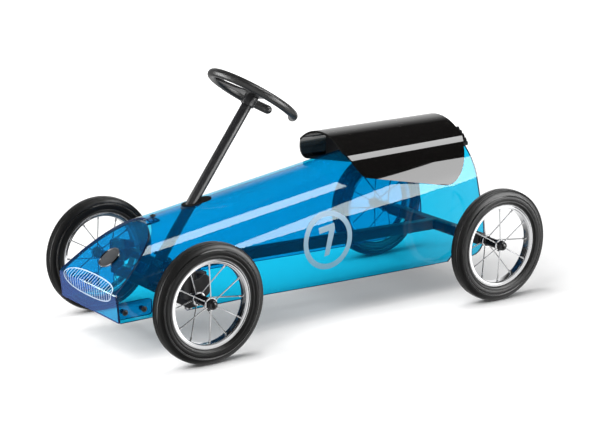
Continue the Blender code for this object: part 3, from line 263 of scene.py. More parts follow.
def bezier(*handles, steps=16):
    """A cubic between the first and last of four points, which the other two pull towards them."""
    t = np.linspace(0, 1, steps + 1)[:, None]
    weights = ((1 - t) ** 3, 3 * t * (1 - t) ** 2, 3 * t**2 * (1 - t), t**3)
    return sum(weight * np.array(handle) for weight, handle in zip(weights, handles))


def both_halves(half, ends=True):
    """A line and its mirror image in the first axis. Without ends, points on the mirror come once."""
    return np.concatenate([half, (half * (-1, 1))[::-1] if ends else (half * (-1, 1))[-2:0:-1]])


# %% Turned pieces
def lathe(profile, origin=(0, 0, 0), axis=(1, 0, 0), steps=48, loop=False):
    """A profile of (distance along the axis, radius) carried round the axis.

    Each point is origin + along * axis + radius * (cos angle * first + sin angle * second). A loop
    profile closes on itself, and any other one is closed by flat ends that reach the axis.
    """
    profile = np.array(profile, float)
    if not loop:
        ends = profile[[0, -1]] * (1, 0)
        profile = np.concatenate([ends[:1], profile, ends[1:]])
    axis, first, second = across(axis)
    round_it = circle((0, 0), 1, steps) @ np.array((first, second))
    points = np.array(origin) + profile[None, :, :1] * axis + profile[None, :, 1:] * round_it[:, None]
    return closed(points.reshape(-1, 3), grid_faces(steps, len(profile), True, loop))


def softened(low, high, radius, rounding=0.0012, steps=4):
    """A cylinder's profile (along, radius) with rounded edges.

    At the angle t round an edge it lies rounding * (1 - sin t) inside the end and
    rounding * (1 - cos t) under the radius.
    """
    t = np.linspace(pi / 2, 0, steps + 1)
    edge = np.stack([rounding * (1 - np.sin(t)), radius - rounding * (1 - np.cos(t))], -1)
    return np.concatenate([(low, 0) + edge, (high, 0) + edge[::-1] * (-1, 1)])


def span(start, end):
    """The length between two points and the direction from one to the other."""
    run = np.subtract(end, start)
    length = np.linalg.norm(run)
    return length, run / length


def rod(start, end, radius, steps, rounding):
    """A round bar between two points, with softened ends."""
    length, along = span(start, end)
    return lathe(softened(0, length, radius, rounding, 3), start, along, steps)


# %% Plates and square tubes
def inset(outline, distance):
    """An outline moved inwards: each point goes square to the line between its two neighbours."""
    ahead = np.roll(outline, -1, 0)
    tangent = unit(ahead - np.roll(outline, 1, 0))
    turned_left = np.sum(outline[:, 0] * ahead[:, 1] - outline[:, 1] * ahead[:, 0]) > 0
    return outline + tangent[:, ::-1] * ((-1, 1) if turned_left else (1, -1)) * distance


def plate(outline, thickness, rounding, place, steps=3):
    """A flat outline given thickness, its edges rounded over as those of a softened cylinder are.

    place turns (x, y, height) into points of the car.
    """
    outline = np.array(outline, float)
    rows = softened(-thickness / 2, thickness / 2, 0, rounding, steps)
    layers = [np.column_stack([inset(outline, -out), np.full(len(outline), height)]) for height, out in rows]
    return loft(place(np.array(layers)))


def bar(start, end, width, height, rounding=0.0018):
    """A square tube's outside between two points, with its side faces upright."""
    length, along = span(start, end)
    side = unit(np.cross((0, 0, 1), along))
    half = np.array((width / 2 - rounding, height / 2 - rounding))
    signs = ((1, 1), (-1, 1), (-1, -1), (1, -1))
    section = [arc(half * sign, rounding, i * pi / 2, (i + 1) * pi / 2, 4) for i, sign in enumerate(signs)]
    place = in_frame(np.add(start, end) / 2, side, np.cross(along, side), along)
    return plate(np.concatenate(section), length, rounding / 2, place)

# %% [markdown]
# ## Finishes
#
# A finish is a small program that runs at every point of a surface. Written as nodes it is hard to read,
# so a socket is wrapped in a class whose operators add Math nodes: `1 - dust * 0.3` is two nodes. Every
# other node comes from one method, which takes the node's type, its settings and what goes into it.

# %% Sockets that Python can reckon with
def feed(slot, value):
    """Links a socket to another one, or gives it a plain value."""
    if isinstance(value, Value):
        slot.id_data.links.new(value.socket, slot)
    else:
        slot.default_value = value


def operator(operation, reflected=False):
    """A method that adds one Math node. Reflected is for a number that stands first, as in 1 - dust."""
    if reflected:
        return lambda value, other: value.reckon(operation, other, value)
    return lambda value, other: value.reckon(operation, value, other)


class Value:
    """One output socket. Each operator adds one Math node to its tree."""

    def __init__(self, socket):
        self.socket = socket

    def reckon(self, operation, *terms):
        node = self.socket.id_data.nodes.new("ShaderNodeMath")
        node.operation = operation
        for slot, term in zip(node.inputs, terms):
            feed(slot, term)
        return Value(node.outputs[0])

    __add__ = __radd__ = operator("ADD")
    __mul__ = __rmul__ = operator("MULTIPLY")
    __sub__, __rsub__ = operator("SUBTRACT"), operator("SUBTRACT", reflected=True)
    __pow__ = operator("POWER")

    def clamped(self):
        return self.reckon("MAXIMUM", self.reckon("MINIMUM", self, 1.0), 0.0)

    def over(self, start, rate):
        """0 up to a start, and from there it rises at a rate until it is 1."""
        return ((self - start) * rate).clamped()

    def wave(self, rate):
        """A sine that runs between 0 and 1."""
        turned = self * rate
        return turned.reckon("SINE", turned) * 0.5 + 0.5


# %% A material's tree
class Finish:
    """The empty node tree of a new material, or of the world, and the patterns that fill it."""

    def __init__(self, name, kind=bpy.data.materials):
        self.owner = kind.new(name)
        self.owner.use_nodes = True
        self.tree = self.owner.node_tree
        self.tree.nodes.clear()

    def node(self, kind, settings=(), inputs=(), output=0):
        """Adds a node: first its settings, then the values or links of its sockets."""
        made = self.tree.nodes.new("ShaderNode" + kind)
        for name, value in dict(settings).items():
            setattr(made, name, value)
        for name, value in dict(inputs).items():
            feed(made.inputs[name], value)
        return Value(made.outputs[output])

    def outputs(self, kind, inputs=()):
        """All outputs of a new node, by name."""
        return {socket.name: Value(socket) for socket in self.node(kind, (), inputs).socket.node.outputs}

    def where(self, stretch=(1, 1, 1), centre=(0, 0, 0), turn=(0, 0, 0)):
        """The point on the piece in metres, counted from a centre, and stretched along each axis."""
        here = self.node("TexCoord", output="Object")
        moved = self.node("VectorMath", {"operation": "SUBTRACT"}, {0: here, 1: centre})
        return self.node("Mapping", (), {"Vector": moved, "Scale": stretch, "Rotation": turn})

    def round_axle(self, centre):
        """The point counted from a wheel's centre, and its distance from the axle."""
        offset = self.where(centre=centre)
        _, y, z = self.outputs("SeparateXYZ", {0: offset}).values()
        return offset, (y * y + z * z) ** 0.5

    def distance(self, vector):
        return self.node("VectorMath", {"operation": "LENGTH"}, {0: vector}, "Value")

    def noise(self, where, scale, detail=3.0, roughness=0.55):
        sizes = {"Vector": where, "Scale": scale, "Detail": detail, "Roughness": roughness}
        return self.node("TexNoise", (), sizes)

    def specks(self, where, scale, share):
        """Small round specks: bright where a point lies within a share of a cell's own middle."""
        distance = self.node("TexVoronoi", (), {"Vector": where, "Scale": scale, "Randomness": 1.0})
        return ((share - distance) * (1 / share)).clamped()

    def between(self, share, first, second):
        """A colour that goes from the first to the second one as the share goes from 0 to 1."""
        colours = {0: share, 6: (*first, 1), 7: (*second, 1)}
        return self.node("Mix", {"data_type": "RGBA", "clamp_factor": True}, colours, 2)

    def bump(self, height, depth, strength=1.0):
        """A Bump node: the height runs from 0 to 1, and the depth is in metres."""
        return self.node("Bump", (), {"Height": height, "Distance": depth, "Strength": strength})

    def clear(self, *tint):
        return self.node("BsdfTransparent", (), {"Color": (*tint, 1)})

    def mixed(self, share, first, second):
        return self.node("MixShader", (), {0: share, 1: first, 2: second})

    def done(self, shader, output="OutputMaterial"):
        feed(self.tree.nodes.new("ShaderNode" + output).inputs["Surface"], shader)
        return self.owner

    def skin(self, share, dark, light, roughness, height, depth, strength, **others):
        """The material done with one Principled shader.

        Its colour goes from dark to light with a share, and its bump has a height, a depth and a strength.
        Other sockets are named in small letters.
        """
        inputs = {name.replace("_", " ").title().replace("Ior", "IOR"): v for name, v in others.items()}
        inputs["Base Color"] = self.between(share, dark, light)
        inputs["Normal"] = self.bump(height, depth, strength)
        return self.done(self.node("BsdfPrincipled", (), {"Roughness": roughness, **inputs}))


# %% [markdown]
# ## Clear blue acrylic
#
# Acrylic of this kind is coloured right through and polished on both faces. Light that comes through it is
# tinted, and each face mirrors a few parts in a hundred of what stands round it, more at a glancing angle.
# The sheet is modelled with both faces, so each face carries the square root of the tint. A true glass
# shader would also bend light, but through two parallel faces that shifts the view by a millimetre, and
# it makes grainy shadows. A tinted Transparent shader under a mirror whose share follows Fresnel's law
# looks the same and stays clean. Only the front of a face mirrors. Lamps, soft light and what other pieces
# mirror come through with a paler tint, because the paper under the real car is hardly blue. A little
# milk in the sheet gives it some light of its own.

# %% Clear blue acrylic
SHEET_TINT = (0.008, 0.480, 0.725)
SOFT_TINT = (0.66, 0.68, 0.69)
MIRRORED_TINT = (0.30, 0.40, 0.46)
MIRROR_INDEX = 1.50
MILK = 0.038


def clear_blue_sheet():
    finish = Finish("clear_blue")
    rays = finish.outputs("LightPath")
    soft_light = rays["Is Shadow Ray"] + rays["Is Diffuse Ray"]
    seen = finish.clear(*(sqrt(share) for share in SHEET_TINT))
    lit = finish.mixed(soft_light, seen, finish.clear(*SOFT_TINT))
    through = finish.mixed(rays["Is Glossy Ray"], lit, finish.clear(*MIRRORED_TINT))
    where = finish.where()
    wiped = finish.noise(finish.where((3, 1, 3), turn=(0.3, 0, 0.1)), 9.0, 4.0)
    dust = finish.specks(where, 420.0, 0.05)
    mirror = finish.node("BsdfPrincipled", (), {
        "Base Color": (0.88, 1.0, 0.95, 1),
        "Metallic": 1.0,
        "Roughness": wiped * 0.03 + dust * 0.25 + 0.004,
        "Normal": finish.bump(finish.noise(where, 6.0, 1.0), 0.0006, 0.12),
    })
    milk = finish.node("BsdfDiffuse", (), {"Color": (0.0, 0.34, 0.95, 1)})
    body = finish.mixed(MILK + dust * 0.05, through, milk)
    front = 1 - finish.node("NewGeometry", output="Backfacing")
    share = finish.node("Fresnel", (), {"IOR": MIRROR_INDEX}) * front
    return finish.done(finish.mixed(share, body, mirror))


def sawn_edge():
    """The sheet's cut edge: light is trapped in it, so it looks nearly black, with fine saw marks."""
    finish = Finish("clear_blue_edge")
    marks = finish.noise(finish.where((1, 700, 700)), 1.0, 2.0)
    patches = finish.noise(finish.where(), 30.0, 2.0)
    return finish.skin(patches, (0.0, 0.006, 0.030), (0.0, 0.022, 0.085), 0.16 + marks * 0.14,
                       marks, 0.00008, 0.5, coat_weight=0.5, coat_roughness=0.08)


clear_blue, clear_blue_edge = clear_blue_sheet(), sawn_edge()
print("tint of one sheet:", SHEET_TINT)

# %% [markdown]
# ## Black finishes
#
# Black is never one colour. The seat is a mirror-like sheet with a little dust, the frame is powder-coated
# with a fine orange-peel skin, and the steering parts and caps are moulded with a finer grain. Each gets
# its own roughness and bump. The tyres are polished rubber, slightly grey where dust clings: the mould
# leaves fine rings round the axle, and one ring of the sidewall shines.

# %% Black finishes
def gloss_black():
    finish = Finish("seat_gloss")
    where = finish.where()
    wiped = finish.noise(finish.where((1, 4, 1)), 7.0, 4.0)
    dust = finish.specks(where, 380.0, 0.06)
    return finish.skin(dust, (0.0035, 0.0032, 0.003), (0.09, 0.09, 0.085), 0.012 + wiped * 0.03 + dust * 0.3,
                       finish.noise(where, 7.0, 1.0), 0.0006, 0.12)


def black_skin(name, dark, light, roughness, grain, depth, shine=0.5):
    """A black coat with a fine skin: grain is how many bumps there are to a metre, depth their height."""
    finish = Finish(name)
    where = finish.where()
    patches = finish.noise(where, 22.0, 4.0)
    handled = finish.noise(where, 70.0, 2.0)
    return finish.skin(patches, dark, light, roughness + patches * 0.12 + handled * 0.06 - 0.09,
                       finish.noise(where, grain, 3.0, 0.6), depth, 0.6, specular_ior_level=shine)


seat_gloss = gloss_black()
frame_black, steering_black, grip_black, support_black, cap_black, screw_black, black_rubber = (
    black_skin(name, *values) for name, *values in (
        ("frame_black", (0.006, 0.006, 0.007), (0.013, 0.013, 0.015), 0.42, 900, 0.0002),
        ("steering_black", (0.006, 0.006, 0.007), (0.012, 0.012, 0.013), 0.31, 1200, 0.00012),
        ("grip_black", (0.007, 0.007, 0.007), (0.013, 0.013, 0.013), 0.33, 1700, 0.00018, 0.6),
        ("support_black", (0.008, 0.008, 0.009), (0.018, 0.018, 0.019), 0.34, 1100, 0.00015),
        ("cap_black", (0.006, 0.006, 0.007), (0.012, 0.012, 0.013), 0.24, 1500, 0.00005),
        ("screw_black", (0.007, 0.007, 0.009), (0.015, 0.016, 0.018), 0.34, 1400, 0.00006),
        ("black_rubber", (0.004, 0.004, 0.004), (0.009, 0.009, 0.009), 0.66, 1300, 0.0002, 0.12)))


# %% Tyre rubber
TREAD_FOOT = 0.1065
POLISHED_FROM, POLISHED_TO = 0.0962, 0.1002


def tyre_finish(centre):
    """Rubber with the mould's fine rings, dust in the tread from TREAD_FOOT out, and one polished ring."""
    finish = Finish("tyre_rubber")
    offset, radius = finish.round_axle(centre)
    grain, patches = finish.noise(offset, 1500.0, 2.0), finish.noise(offset, 26.0, 4.0)
    tread = radius.over(TREAD_FOOT, 400.0)
    polished = radius.over(POLISHED_FROM, 1200.0) * radius.over(POLISHED_TO, -1200.0)
    dusty = (patches * 0.55 + tread * 0.25).clamped()
    return finish.skin(dusty, (0.0032, 0.0032, 0.0032), (0.0125, 0.0123, 0.0120),
                       0.25 + patches * 0.12 + tread * 0.08 - polished * 0.17,
                       radius.wave(4200.0) * 0.35 + grain * 0.65, 0.00010, 0.7,
                       specular_ior_level=0.42, sheen_weight=0.02, sheen_roughness=0.4)


# %% [markdown]
# ## Bright metal
#
# Chrome plate mirrors nearly everything, so its looks come from what stands round it. Faint polishing
# rings and a few dull patches keep it from looking like a computer's mirror. Close round an axle the
# chrome is painted dark: a painted reflection of the dark surroundings that the hub barrel mirrors. The
# axle rods are plain bright steel with fine drawing lines, and the nose's disc is spun, with fine rings
# round its middle.

# %% Bright metal
PAINTED_DARK_RADIUS = 0.0100


def chrome_finish(centre):
    """Chrome plate with polishing rings round the axle. Close round it the colour is a painted dark
    reflection.
    """
    finish = Finish("chrome")
    offset, radius = finish.round_axle(centre)
    patches = finish.noise(offset, 34.0, 4.0)
    # Painted dark reflection: within this distance of the x line through the centre the colour is painted near
    # black, standing in for dark surroundings that the barrel mirrors.
    chrome_not_painted_dark = radius.over(PAINTED_DARK_RADIUS, 6000.0) * (0.86 + patches * 0.14)
    return finish.skin(chrome_not_painted_dark, (0.045, 0.046, 0.050), (0.90, 0.905, 0.915), 0.045 + patches * 0.07,
                       radius.wave(9000.0), 0.000012, 0.25, metallic=1.0)


def drawn_steel():
    finish = Finish("axle_steel")
    lines = finish.noise(finish.where((4, 900, 900)), 1.0, 3.0)
    patches = finish.noise(finish.where(), 40.0, 3.0)
    return finish.skin(patches, (0.44, 0.44, 0.45), (0.60, 0.60, 0.61), 0.20 + lines * 0.16,
                       lines, 0.00005, 0.3, metallic=1.0)


def spun_metal(centre):
    finish = Finish("spun_disc")
    offset = finish.where(centre=centre)
    rings, patches = finish.distance(offset).wave(5200.0), finish.noise(offset, 60.0, 4.0)
    return finish.skin(patches * 0.7 + rings * 0.3, (0.50, 0.53, 0.57), (0.72, 0.75, 0.79),
                       0.24 + patches * 0.14, rings, 0.00003, 0.35, metallic=1.0)


axle_steel = drawn_steel()


# %% [markdown]
# ## Printed inks
#
# Screen ink is a matt film, a little uneven, with pinholes so fine that they only soften it. The mark on
# the wall is painted darker towards its bottom: painted shade, where less light falls low on the wall.

# %% Printed inks
def ink(name, thin_film_and_shade, thick, roughness, foot=None, reach=0.06):
    """A film that is uneven all over. Given a foot, its colour also goes from thin below the foot to thick at
    foot + reach: painted shade, darker towards the bottom.
    """
    finish = Finish(name)
    where = finish.where()
    film_and_painted_shade = finish.noise(where, 55.0, 4.0)
    if foot is not None:
        # Painted shade: the colour goes from the thin one below foot to the thick one at foot + reach, so the
        # print darkens towards the bottom.
        film_and_painted_shade = finish.outputs("SeparateXYZ", {0: where})["Z"].over(foot, 1 / reach) * 0.85 + film_and_painted_shade * 0.15
    mesh = finish.noise(where, 1800.0, 1.0)
    return finish.skin(film_and_painted_shade, thin_film_and_shade, thick, roughness + mesh * 0.16, mesh, 0.00004, 0.5)


silver_ink = ink("silver_ink", (0.36, 0.48, 0.64), (0.50, 0.62, 0.78), 0.32)
# The mark's darker lower part is painted shade. It rises from a height of 0.098 m over the next 0.06 m.
grey_ink = ink("grey_ink", (0.10, 0.36, 0.52), (0.30, 0.47, 0.60), 0.38, 0.098)
print("finishes:", len(bpy.data.materials))

# %% [markdown]
# ## A flat sheet, cut and bent
#
# The body, the nose and the seat start as flat sheet. So they are drawn flat, as a maker would lay them
# out: an outline and its holes are filled with triangles, and a formula then bends every point at once.
# The second face is the first one moved inwards by the thickness, and a band of narrow faces closes the
# cut edge. Lines across the flat sheet, close together where it will be bent, keep the bend round.

# %% Filling a flat outline
def inside(points, loop):
    """True where a ray to the right of a point crosses the loop an odd number of times."""
    x, y = points[:, :1], points[:, 1:]
    start, end = loop, np.roll(loop, -1, 0)
    spans = (start[:, 1] > y) != (end[:, 1] > y)
    rise = np.where(end[:, 1] == start[:, 1], 1.0, end[:, 1] - start[:, 1])
    at = start[:, 0] + (y - start[:, 1]) / rise * (end[:, 0] - start[:, 0])
    return (spans & (x < at)).sum(1) % 2 == 1


def filled(outline, holes=(), lines_u=(), lines_v=()):
    """Points and triangles of a flat shape (u, v), cut along lines of constant u and of constant v."""
    loops = [np.array(loop, float) for loop in (outline, *holes)]
    low, high = loops[0].min(0) - 0.01, loops[0].max(0) + 0.01
    cuts = [((u, low[1]), (u, high[1])) for u in lines_u] + [((low[0], v), (high[0], v)) for v in lines_v]
    points, edges = [], []
    for line in (*loops, *cuts):
        start, length = len(points), len(line)
        points += map(tuple, line)
        edges += [(start + i, start + (i + 1) % length) for i in range(length if length > 2 else 1)]
    made = delaunay_2d_cdt([Vector(point) for point in points], edges, [], 0, 1e-7)
    flat, triangles = np.array([point[:] for point in made[0]]), np.array(made[2])
    middles = flat[triangles].mean(1)
    keep = inside(middles, loops[0])
    for hole in loops[1:]:
        keep &= ~inside(middles, hole)
    used, triangles = np.unique(triangles[keep], return_inverse=True)
    return flat[used], triangles.reshape(-1, 3)


# %% Bending and thickening it
def sheet(name, flats, finish, edge_finish, slot, *replaced):
    """One object from flat shapes, each with its own bend and thickness.

    bend(flat) gives places and outward directions. The inner face is place - thickness * direction. Round
    faces are lit by these directions, so that a reflection runs over the bend without a kink.
    """
    points, faces, lit, on_edge, laid = [], [], [], [], []
    for (flat, triangles), bend, thickness in flats:
        start, count = sum(map(len, points)), len(flat)
        outer, normals = bend(flat)
        half = np.concatenate([np.roll(triangles, turn, 1)[:, :2] for turn in range(3)])
        keys, back = half @ (count, 1), half @ (1, count)
        a, b = half[~np.isin(keys, back)].T
        under = triangles[:, ::-1]
        band = np.stack([b, a, a + count, b + count], -1)
        points += [outer, outer - thickness * normals]
        faces += [*(triangles + start), *(under + count + start), *(band + start)]
        lit += [normals[triangles].reshape(-1, 3), -normals[under].reshape(-1, 3), np.zeros((band.size, 3))]
        on_edge += [0] * (2 * len(triangles)) + [1] * len(band)
        laid += [flat, flat]
    mesh = bpy.data.meshes.new(name)
    mesh.from_pydata(np.concatenate(points).tolist(), [], [face.tolist() for face in faces])
    mesh.materials.append(finish)
    mesh.materials.append(edge_finish)
    mesh.polygons.foreach_set("material_index", np.array(on_edge, np.int32))
    mesh.polygons.foreach_set("use_smooth", np.array(on_edge) == 0)
    corners = np.zeros(len(mesh.loops), np.int32)
    mesh.loops.foreach_get("vertex_index", corners)
    layer = mesh.uv_layers.new(name="flat_sheet")
    layer.uv.foreach_set("vector", np.concatenate(laid)[corners].astype(np.float32).ravel())
    mesh.normals_split_custom_set(np.concatenate(lit).tolist())
    hang(name, mesh, "root", replaced)


# %% [markdown]
# ## The arch that the sheets are bent over
#
# Body and seat share one shape: half a round arch over two straight walls. Laid flat, u is counted round
# the arch from its ridge and v along it. On the arch a point stands at the angle u / radius from upright,
# and past a quarter circle it goes straight down.

# %% The arch
class Arch:
    def __init__(self, radius, y, z, slope):
        self.radius = radius
        self.quarter = radius * pi / 2
        self.start = np.array((0, y, z))
        self.along = np.array((0, cos(slope), sin(slope)))
        self.up = np.array((0, -sin(slope), cos(slope)))
        self.bends = np.linspace(-self.quarter, self.quarter, 73)

    def bend(self, flat, lift=0.0):
        """Places and outward directions of flat points, lifted off the sheet by a small distance."""
        u, v = flat.T
        angle = np.clip(u, -self.quarter, self.quarter) / self.radius
        drop = np.maximum(abs(u) - self.quarter, 0)
        outward = np.outer(np.sin(angle), (1, 0, 0)) + np.outer(np.cos(angle), self.up)
        places = self.start + (self.radius + lift) * outward + np.outer(v, self.along)
        return places - np.outer(drop, self.up), outward

    def own(self, line):
        """Side-view points (y, z) as the distance along the arch and the height over its axis."""
        offset = np.array(line, float) - self.start[1:]
        return offset @ self.along[1:], offset @ self.up[1:]

    def on_wall(self, line):
        """Side-view points on the straight walls, laid flat."""
        v, height = self.own(line)
        return np.stack([self.quarter - height, v], -1)

    def on_arch(self, line, corners, steps=90):
        """A side-view line that crosses the whole arch, laid flat from the ridge down to the wall.

        At each u the height is radius * cos(u / radius), and the line says how far along that is.
        """
        v, height = self.own(line)
        order = np.argsort(height)
        u = np.linspace(0, self.quarter, steps)
        if corners:
            u = np.union1d(u, self.radius * np.arccos(self.own(corners)[1] / self.radius))
        return np.stack([u, np.interp(self.radius * np.cos(u / self.radius), height[order], v[order])], -1)

    def laid_flat(self, side, front_corners=()):
        """A side view from over the ridge, round the foot and up again, as a whole flat outline."""
        low = np.flatnonzero(self.own(side)[1] < 0)
        front = self.on_arch(side[:low[0] + 1], front_corners)
        rear = self.on_arch(side[low[-1]:], ())[::-1]
        return both_halves(np.concatenate([front, self.on_wall(side[low[0]:low[-1] + 1]), rear]), False)


body_arch = Arch(BODY_HALF_WIDTH, FRONT_AXLE_Y, RIDGE_HEIGHT - BODY_HALF_WIDTH / cos(RIDGE_SLOPE), RIDGE_SLOPE)
SEAT_RADIUS = BODY_HALF_WIDTH + GAP + SHEET
seat_arch = Arch(SEAT_RADIUS, 0, SEAT_TOP - SEAT_RADIUS, 0)
print("half girth of the arch:", round(body_arch.quarter, 4), "m")

# %% [markdown]
# ## The body sheet
#
# From the side the body is a long wedge: cut back along the nose, slotted for the front axle and for the
# rear one, with a round lobe behind the rear wheel and a long sweep up to the ridge. Its side view is laid
# flat, mirrored over the ridge and bent. The screw holes and the column's hole are cut out flat as well.
# The column leans, so its hole is an oval: each of its points is where a line along the column meets the
# arch.

# %% The body's side view
BODY_FOOT, BODY_FOOT_REAR = 0.0707, 0.0613


def nose_front_y(z):
    return FOLD_Y + NOSE_LEAN * (FOLD_HEIGHT - z) / (FOLD_HEIGHT - NOSE_FOOT)


def nose_top_z(y):
    return FOLD_HEIGHT + tan(NOSE_SLOPE) * (y - FOLD_Y)


def ridge_z(y):
    return RIDGE_HEIGHT + tan(RIDGE_SLOPE) * (y - FRONT_AXLE_Y)


def body_side():
    """Side-view points (y, z) from over the ridge at the nose, round the foot, to over it at the rear."""
    front, rear = FRONT_AXLE_Y, REAR_AXLE_Y
    peak = ridge_z(rear) + 0.03
    edge = SHEET + GAP
    corner = (FOLD_Y + edge, nose_top_z(FOLD_Y + edge))
    nose = [(FOLD_Y + (peak - FOLD_HEIGHT) / tan(NOSE_SLOPE), peak), corner,
            (nose_front_y(BODY_FOOT) + edge, BODY_FOOT)]
    front_slot = [(front - 0.0323, BODY_FOOT), (front - 0.022, 0.081), (front - 0.022, 0.142),
                  (front + 0.036, 0.142), (front + 0.036, 0.112), (front + 0.012, 0.100),
                  (front + 0.012, BODY_FOOT)]
    start, end = np.array((front + 0.137, BODY_FOOT)), np.array((rear - 0.0474, BODY_FOOT_REAR))
    run = end - start
    foot = bezier(start, start + run * (0.33, 0.45), start + run * (0.67, 0.88), end)
    rear_slot = [(rear - 0.0132, 0.0955), (rear - 0.0132, 0.1203), (rear + 0.0132, 0.1203)]
    lobe = arc((rear + 0.0135, 0.093), 0.030, -pi / 2, 0, 16)
    shoulder, crown = (rear + 0.0418, 0.130), (rear - 0.006, ridge_z(rear) + 0.012)
    lower = bezier(lobe[-1], (rear + 0.0445, 0.1041), (rear + 0.0438, 0.1171), shoulder)
    upper = bezier(shoulder, (rear + 0.0201, 0.2357), (rear + 0.0079, 0.2786), crown, steps=60)
    line = [*nose, *front_slot, *foot, *rear_slot, *lobe, *lower[1:], *upper[1:], (crown[0], peak)]
    return np.array(line), [corner]


# %% The column's place
def tilted(angle):
    """The directions up and behind of something that leans back by an angle."""
    return np.array((0, sin(angle), cos(angle))), np.array((0, cos(angle), -sin(angle)))


LEFT = (1.0, 0, 0)
COLUMN_TILT, COLUMN_RADIUS = radians(35.93), 0.010
COLUMN_FOOT = np.array((0, -0.3283, 0.104))
COLUMN_AXIS, BEHIND_COLUMN = tilted(COLUMN_TILT)
RING_CENTRE = 0.393


def column_hole(radius, lift=0.0, steps=40):
    """Where a tube round the column's axis meets the body arch, laid flat as (u, v)."""
    x, behind = circle((0, 0), radius, steps).T
    v, height = body_arch.own((COLUMN_FOOT + np.outer(behind, BEHIND_COLUMN))[:, 1:])
    shell = body_arch.radius + lift
    climb = (np.sqrt(shell**2 - x**2) - height) / (COLUMN_AXIS @ body_arch.up)
    return np.stack([body_arch.radius * np.arcsin(x / shell), v + climb * (COLUMN_AXIS @ body_arch.along)], -1)


# %% The body sheet
SCREW_HOLE, SCREW_HEIGHT = 0.0023, 0.090
SCREW_PLACES = (FRONT_AXLE_Y - 0.1166, FRONT_AXLE_Y - 0.078)
RIDGE_SCREW_Y, RIDGE_SCREW_LEAN = FRONT_AXLE_Y + 0.004, 0.0007
SLEEVE_RADIUS = 0.014


def body_sheet():
    side, corners = body_side()
    side_screws = body_arch.on_wall([(y, SCREW_HEIGHT) for y in SCREW_PLACES])
    ridge_screw = (0, body_arch.own((RIDGE_SCREW_Y, ridge_z(RIDGE_SCREW_Y)))[0])
    holes = [column_hole(SLEEVE_RADIUS + GAP), circle(ridge_screw, SCREW_HOLE)]
    holes += [circle(place * (turn, 1), SCREW_HOLE) for place in side_screws for turn in (1, -1)]
    wall_lines = body_arch.quarter + np.arange(0.03, 0.16, 0.03)
    lines_u = np.concatenate([-wall_lines, body_arch.bends, wall_lines])
    flat = filled(body_arch.laid_flat(side, corners), holes, lines_u, np.arange(-0.12, 0.75, 0.03))
    sheet("body", [(flat, body_arch.bend, SHEET)], clear_blue, clear_blue_edge, "clear_blue", "body_shell")


body_sheet()

# %% [markdown]
# ## The nose sheet
#
# The nose is a second sheet. It has a front panel over the car's full width, a fold, a sloping panel that
# lies between the body's walls and follows the arch on both sides, and a short tab that goes under the
# ridge. Flaps inside the walls take the screws. Here u is counted across and v along the folded path, so
# the outline's half width at v is where the path meets the arch: the root of radius^2 - height^2.

# %% The folded path
TAB_HALF_WIDTH = 0.012
TAB_DROP = BODY_HALF_WIDTH - sqrt(BODY_HALF_WIDTH**2 - TAB_HALF_WIDTH**2)


def folded(corners, radius, steps=12):
    """A path in (y, z) with rounded corners, and its outward direction at each point.

    Round a corner the direction turns evenly from square to one side to square to the other.
    """
    corners = np.array(corners, float)
    outward = unit(np.diff(corners, axis=0))[:, ::-1] * (-1, 1)
    path, turned = [corners[:1]], [outward[:1]]
    for corner, before, after in zip(corners[1:-1], outward, outward[1:]):
        sweep = np.arccos(before @ after)
        t = np.linspace(0, sweep, steps + 1)[:, None]
        turned.append((np.sin(sweep - t) * before + np.sin(t) * after) / sin(sweep))
        path.append(corner - unit(before + after) * radius / cos(sweep / 2) + radius * turned[-1])
    return np.concatenate([*path, corners[-1:]]), np.concatenate([*turned, outward[-1:]])


def nose_corners():
    tab_z = ridge_z(FRONT_AXLE_Y) - (SHEET + GAP) / cos(RIDGE_SLOPE) - TAB_DROP
    slopes = tan(NOSE_SLOPE) - tan(RIDGE_SLOPE)
    apex_y = FOLD_Y + (tab_z - FOLD_HEIGHT + tan(RIDGE_SLOPE) * (FOLD_Y - FRONT_AXLE_Y)) / slopes
    tab_y = FRONT_AXLE_Y + 0.011
    tab_end = (tab_y, tab_z + tan(RIDGE_SLOPE) * (tab_y - FRONT_AXLE_Y))
    return [(nose_front_y(NOSE_FOOT), NOSE_FOOT), (FOLD_Y, FOLD_HEIGHT), (apex_y, nose_top_z(apex_y)), tab_end]


nose_path, nose_outward = folded(nose_corners(), FOLD_RADIUS)
nose_run = np.concatenate([[0], np.cumsum(np.linalg.norm(np.diff(nose_path, axis=0), axis=1))])
fold = nose_path[:, 0].argmin()


def bend_nose(flat, lift=0.0):
    """Across is x. Along is the folded path, whose place and direction are read between its points."""
    lines = (*nose_path.T, *nose_outward.T)
    y, z, outward_y, outward_z = (np.interp(flat[:, 1], nose_run, line) for line in lines)
    outward = unit(np.stack([y * 0, outward_y, outward_z], -1))
    return np.stack([flat[:, 0], y, z], -1) + lift * outward, outward


# %% The nose sheet
INK, SINK = 0.0003, 0.00005


def nose_v(y):
    """How far along the folded path, behind the fold, a point lies."""
    return np.interp(y, nose_path[fold:, 0], nose_run[fold:])


def nose_outline():
    """Full width ahead of the walls, then as wide as the arch's inside, then as the tab."""
    step = nose_v(FOLD_Y + SHEET)
    v = np.union1d(np.linspace(0, nose_run[-1], 120), [step])
    height = np.maximum(body_arch.own(bend_nose(np.stack([v * 0, v], -1))[0][:, 1:])[1], 0)
    outer = np.sqrt(BODY_HALF_WIDTH**2 - height**2)
    inner = np.sqrt(np.maximum((BODY_HALF_WIDTH - SHEET - GAP) ** 2 - height**2, TAB_HALF_WIDTH**2))
    ahead, behind = np.stack([outer, v], -1)[v <= step], np.stack([inner, v], -1)[v >= step]
    return both_halves(np.concatenate([ahead, behind]))


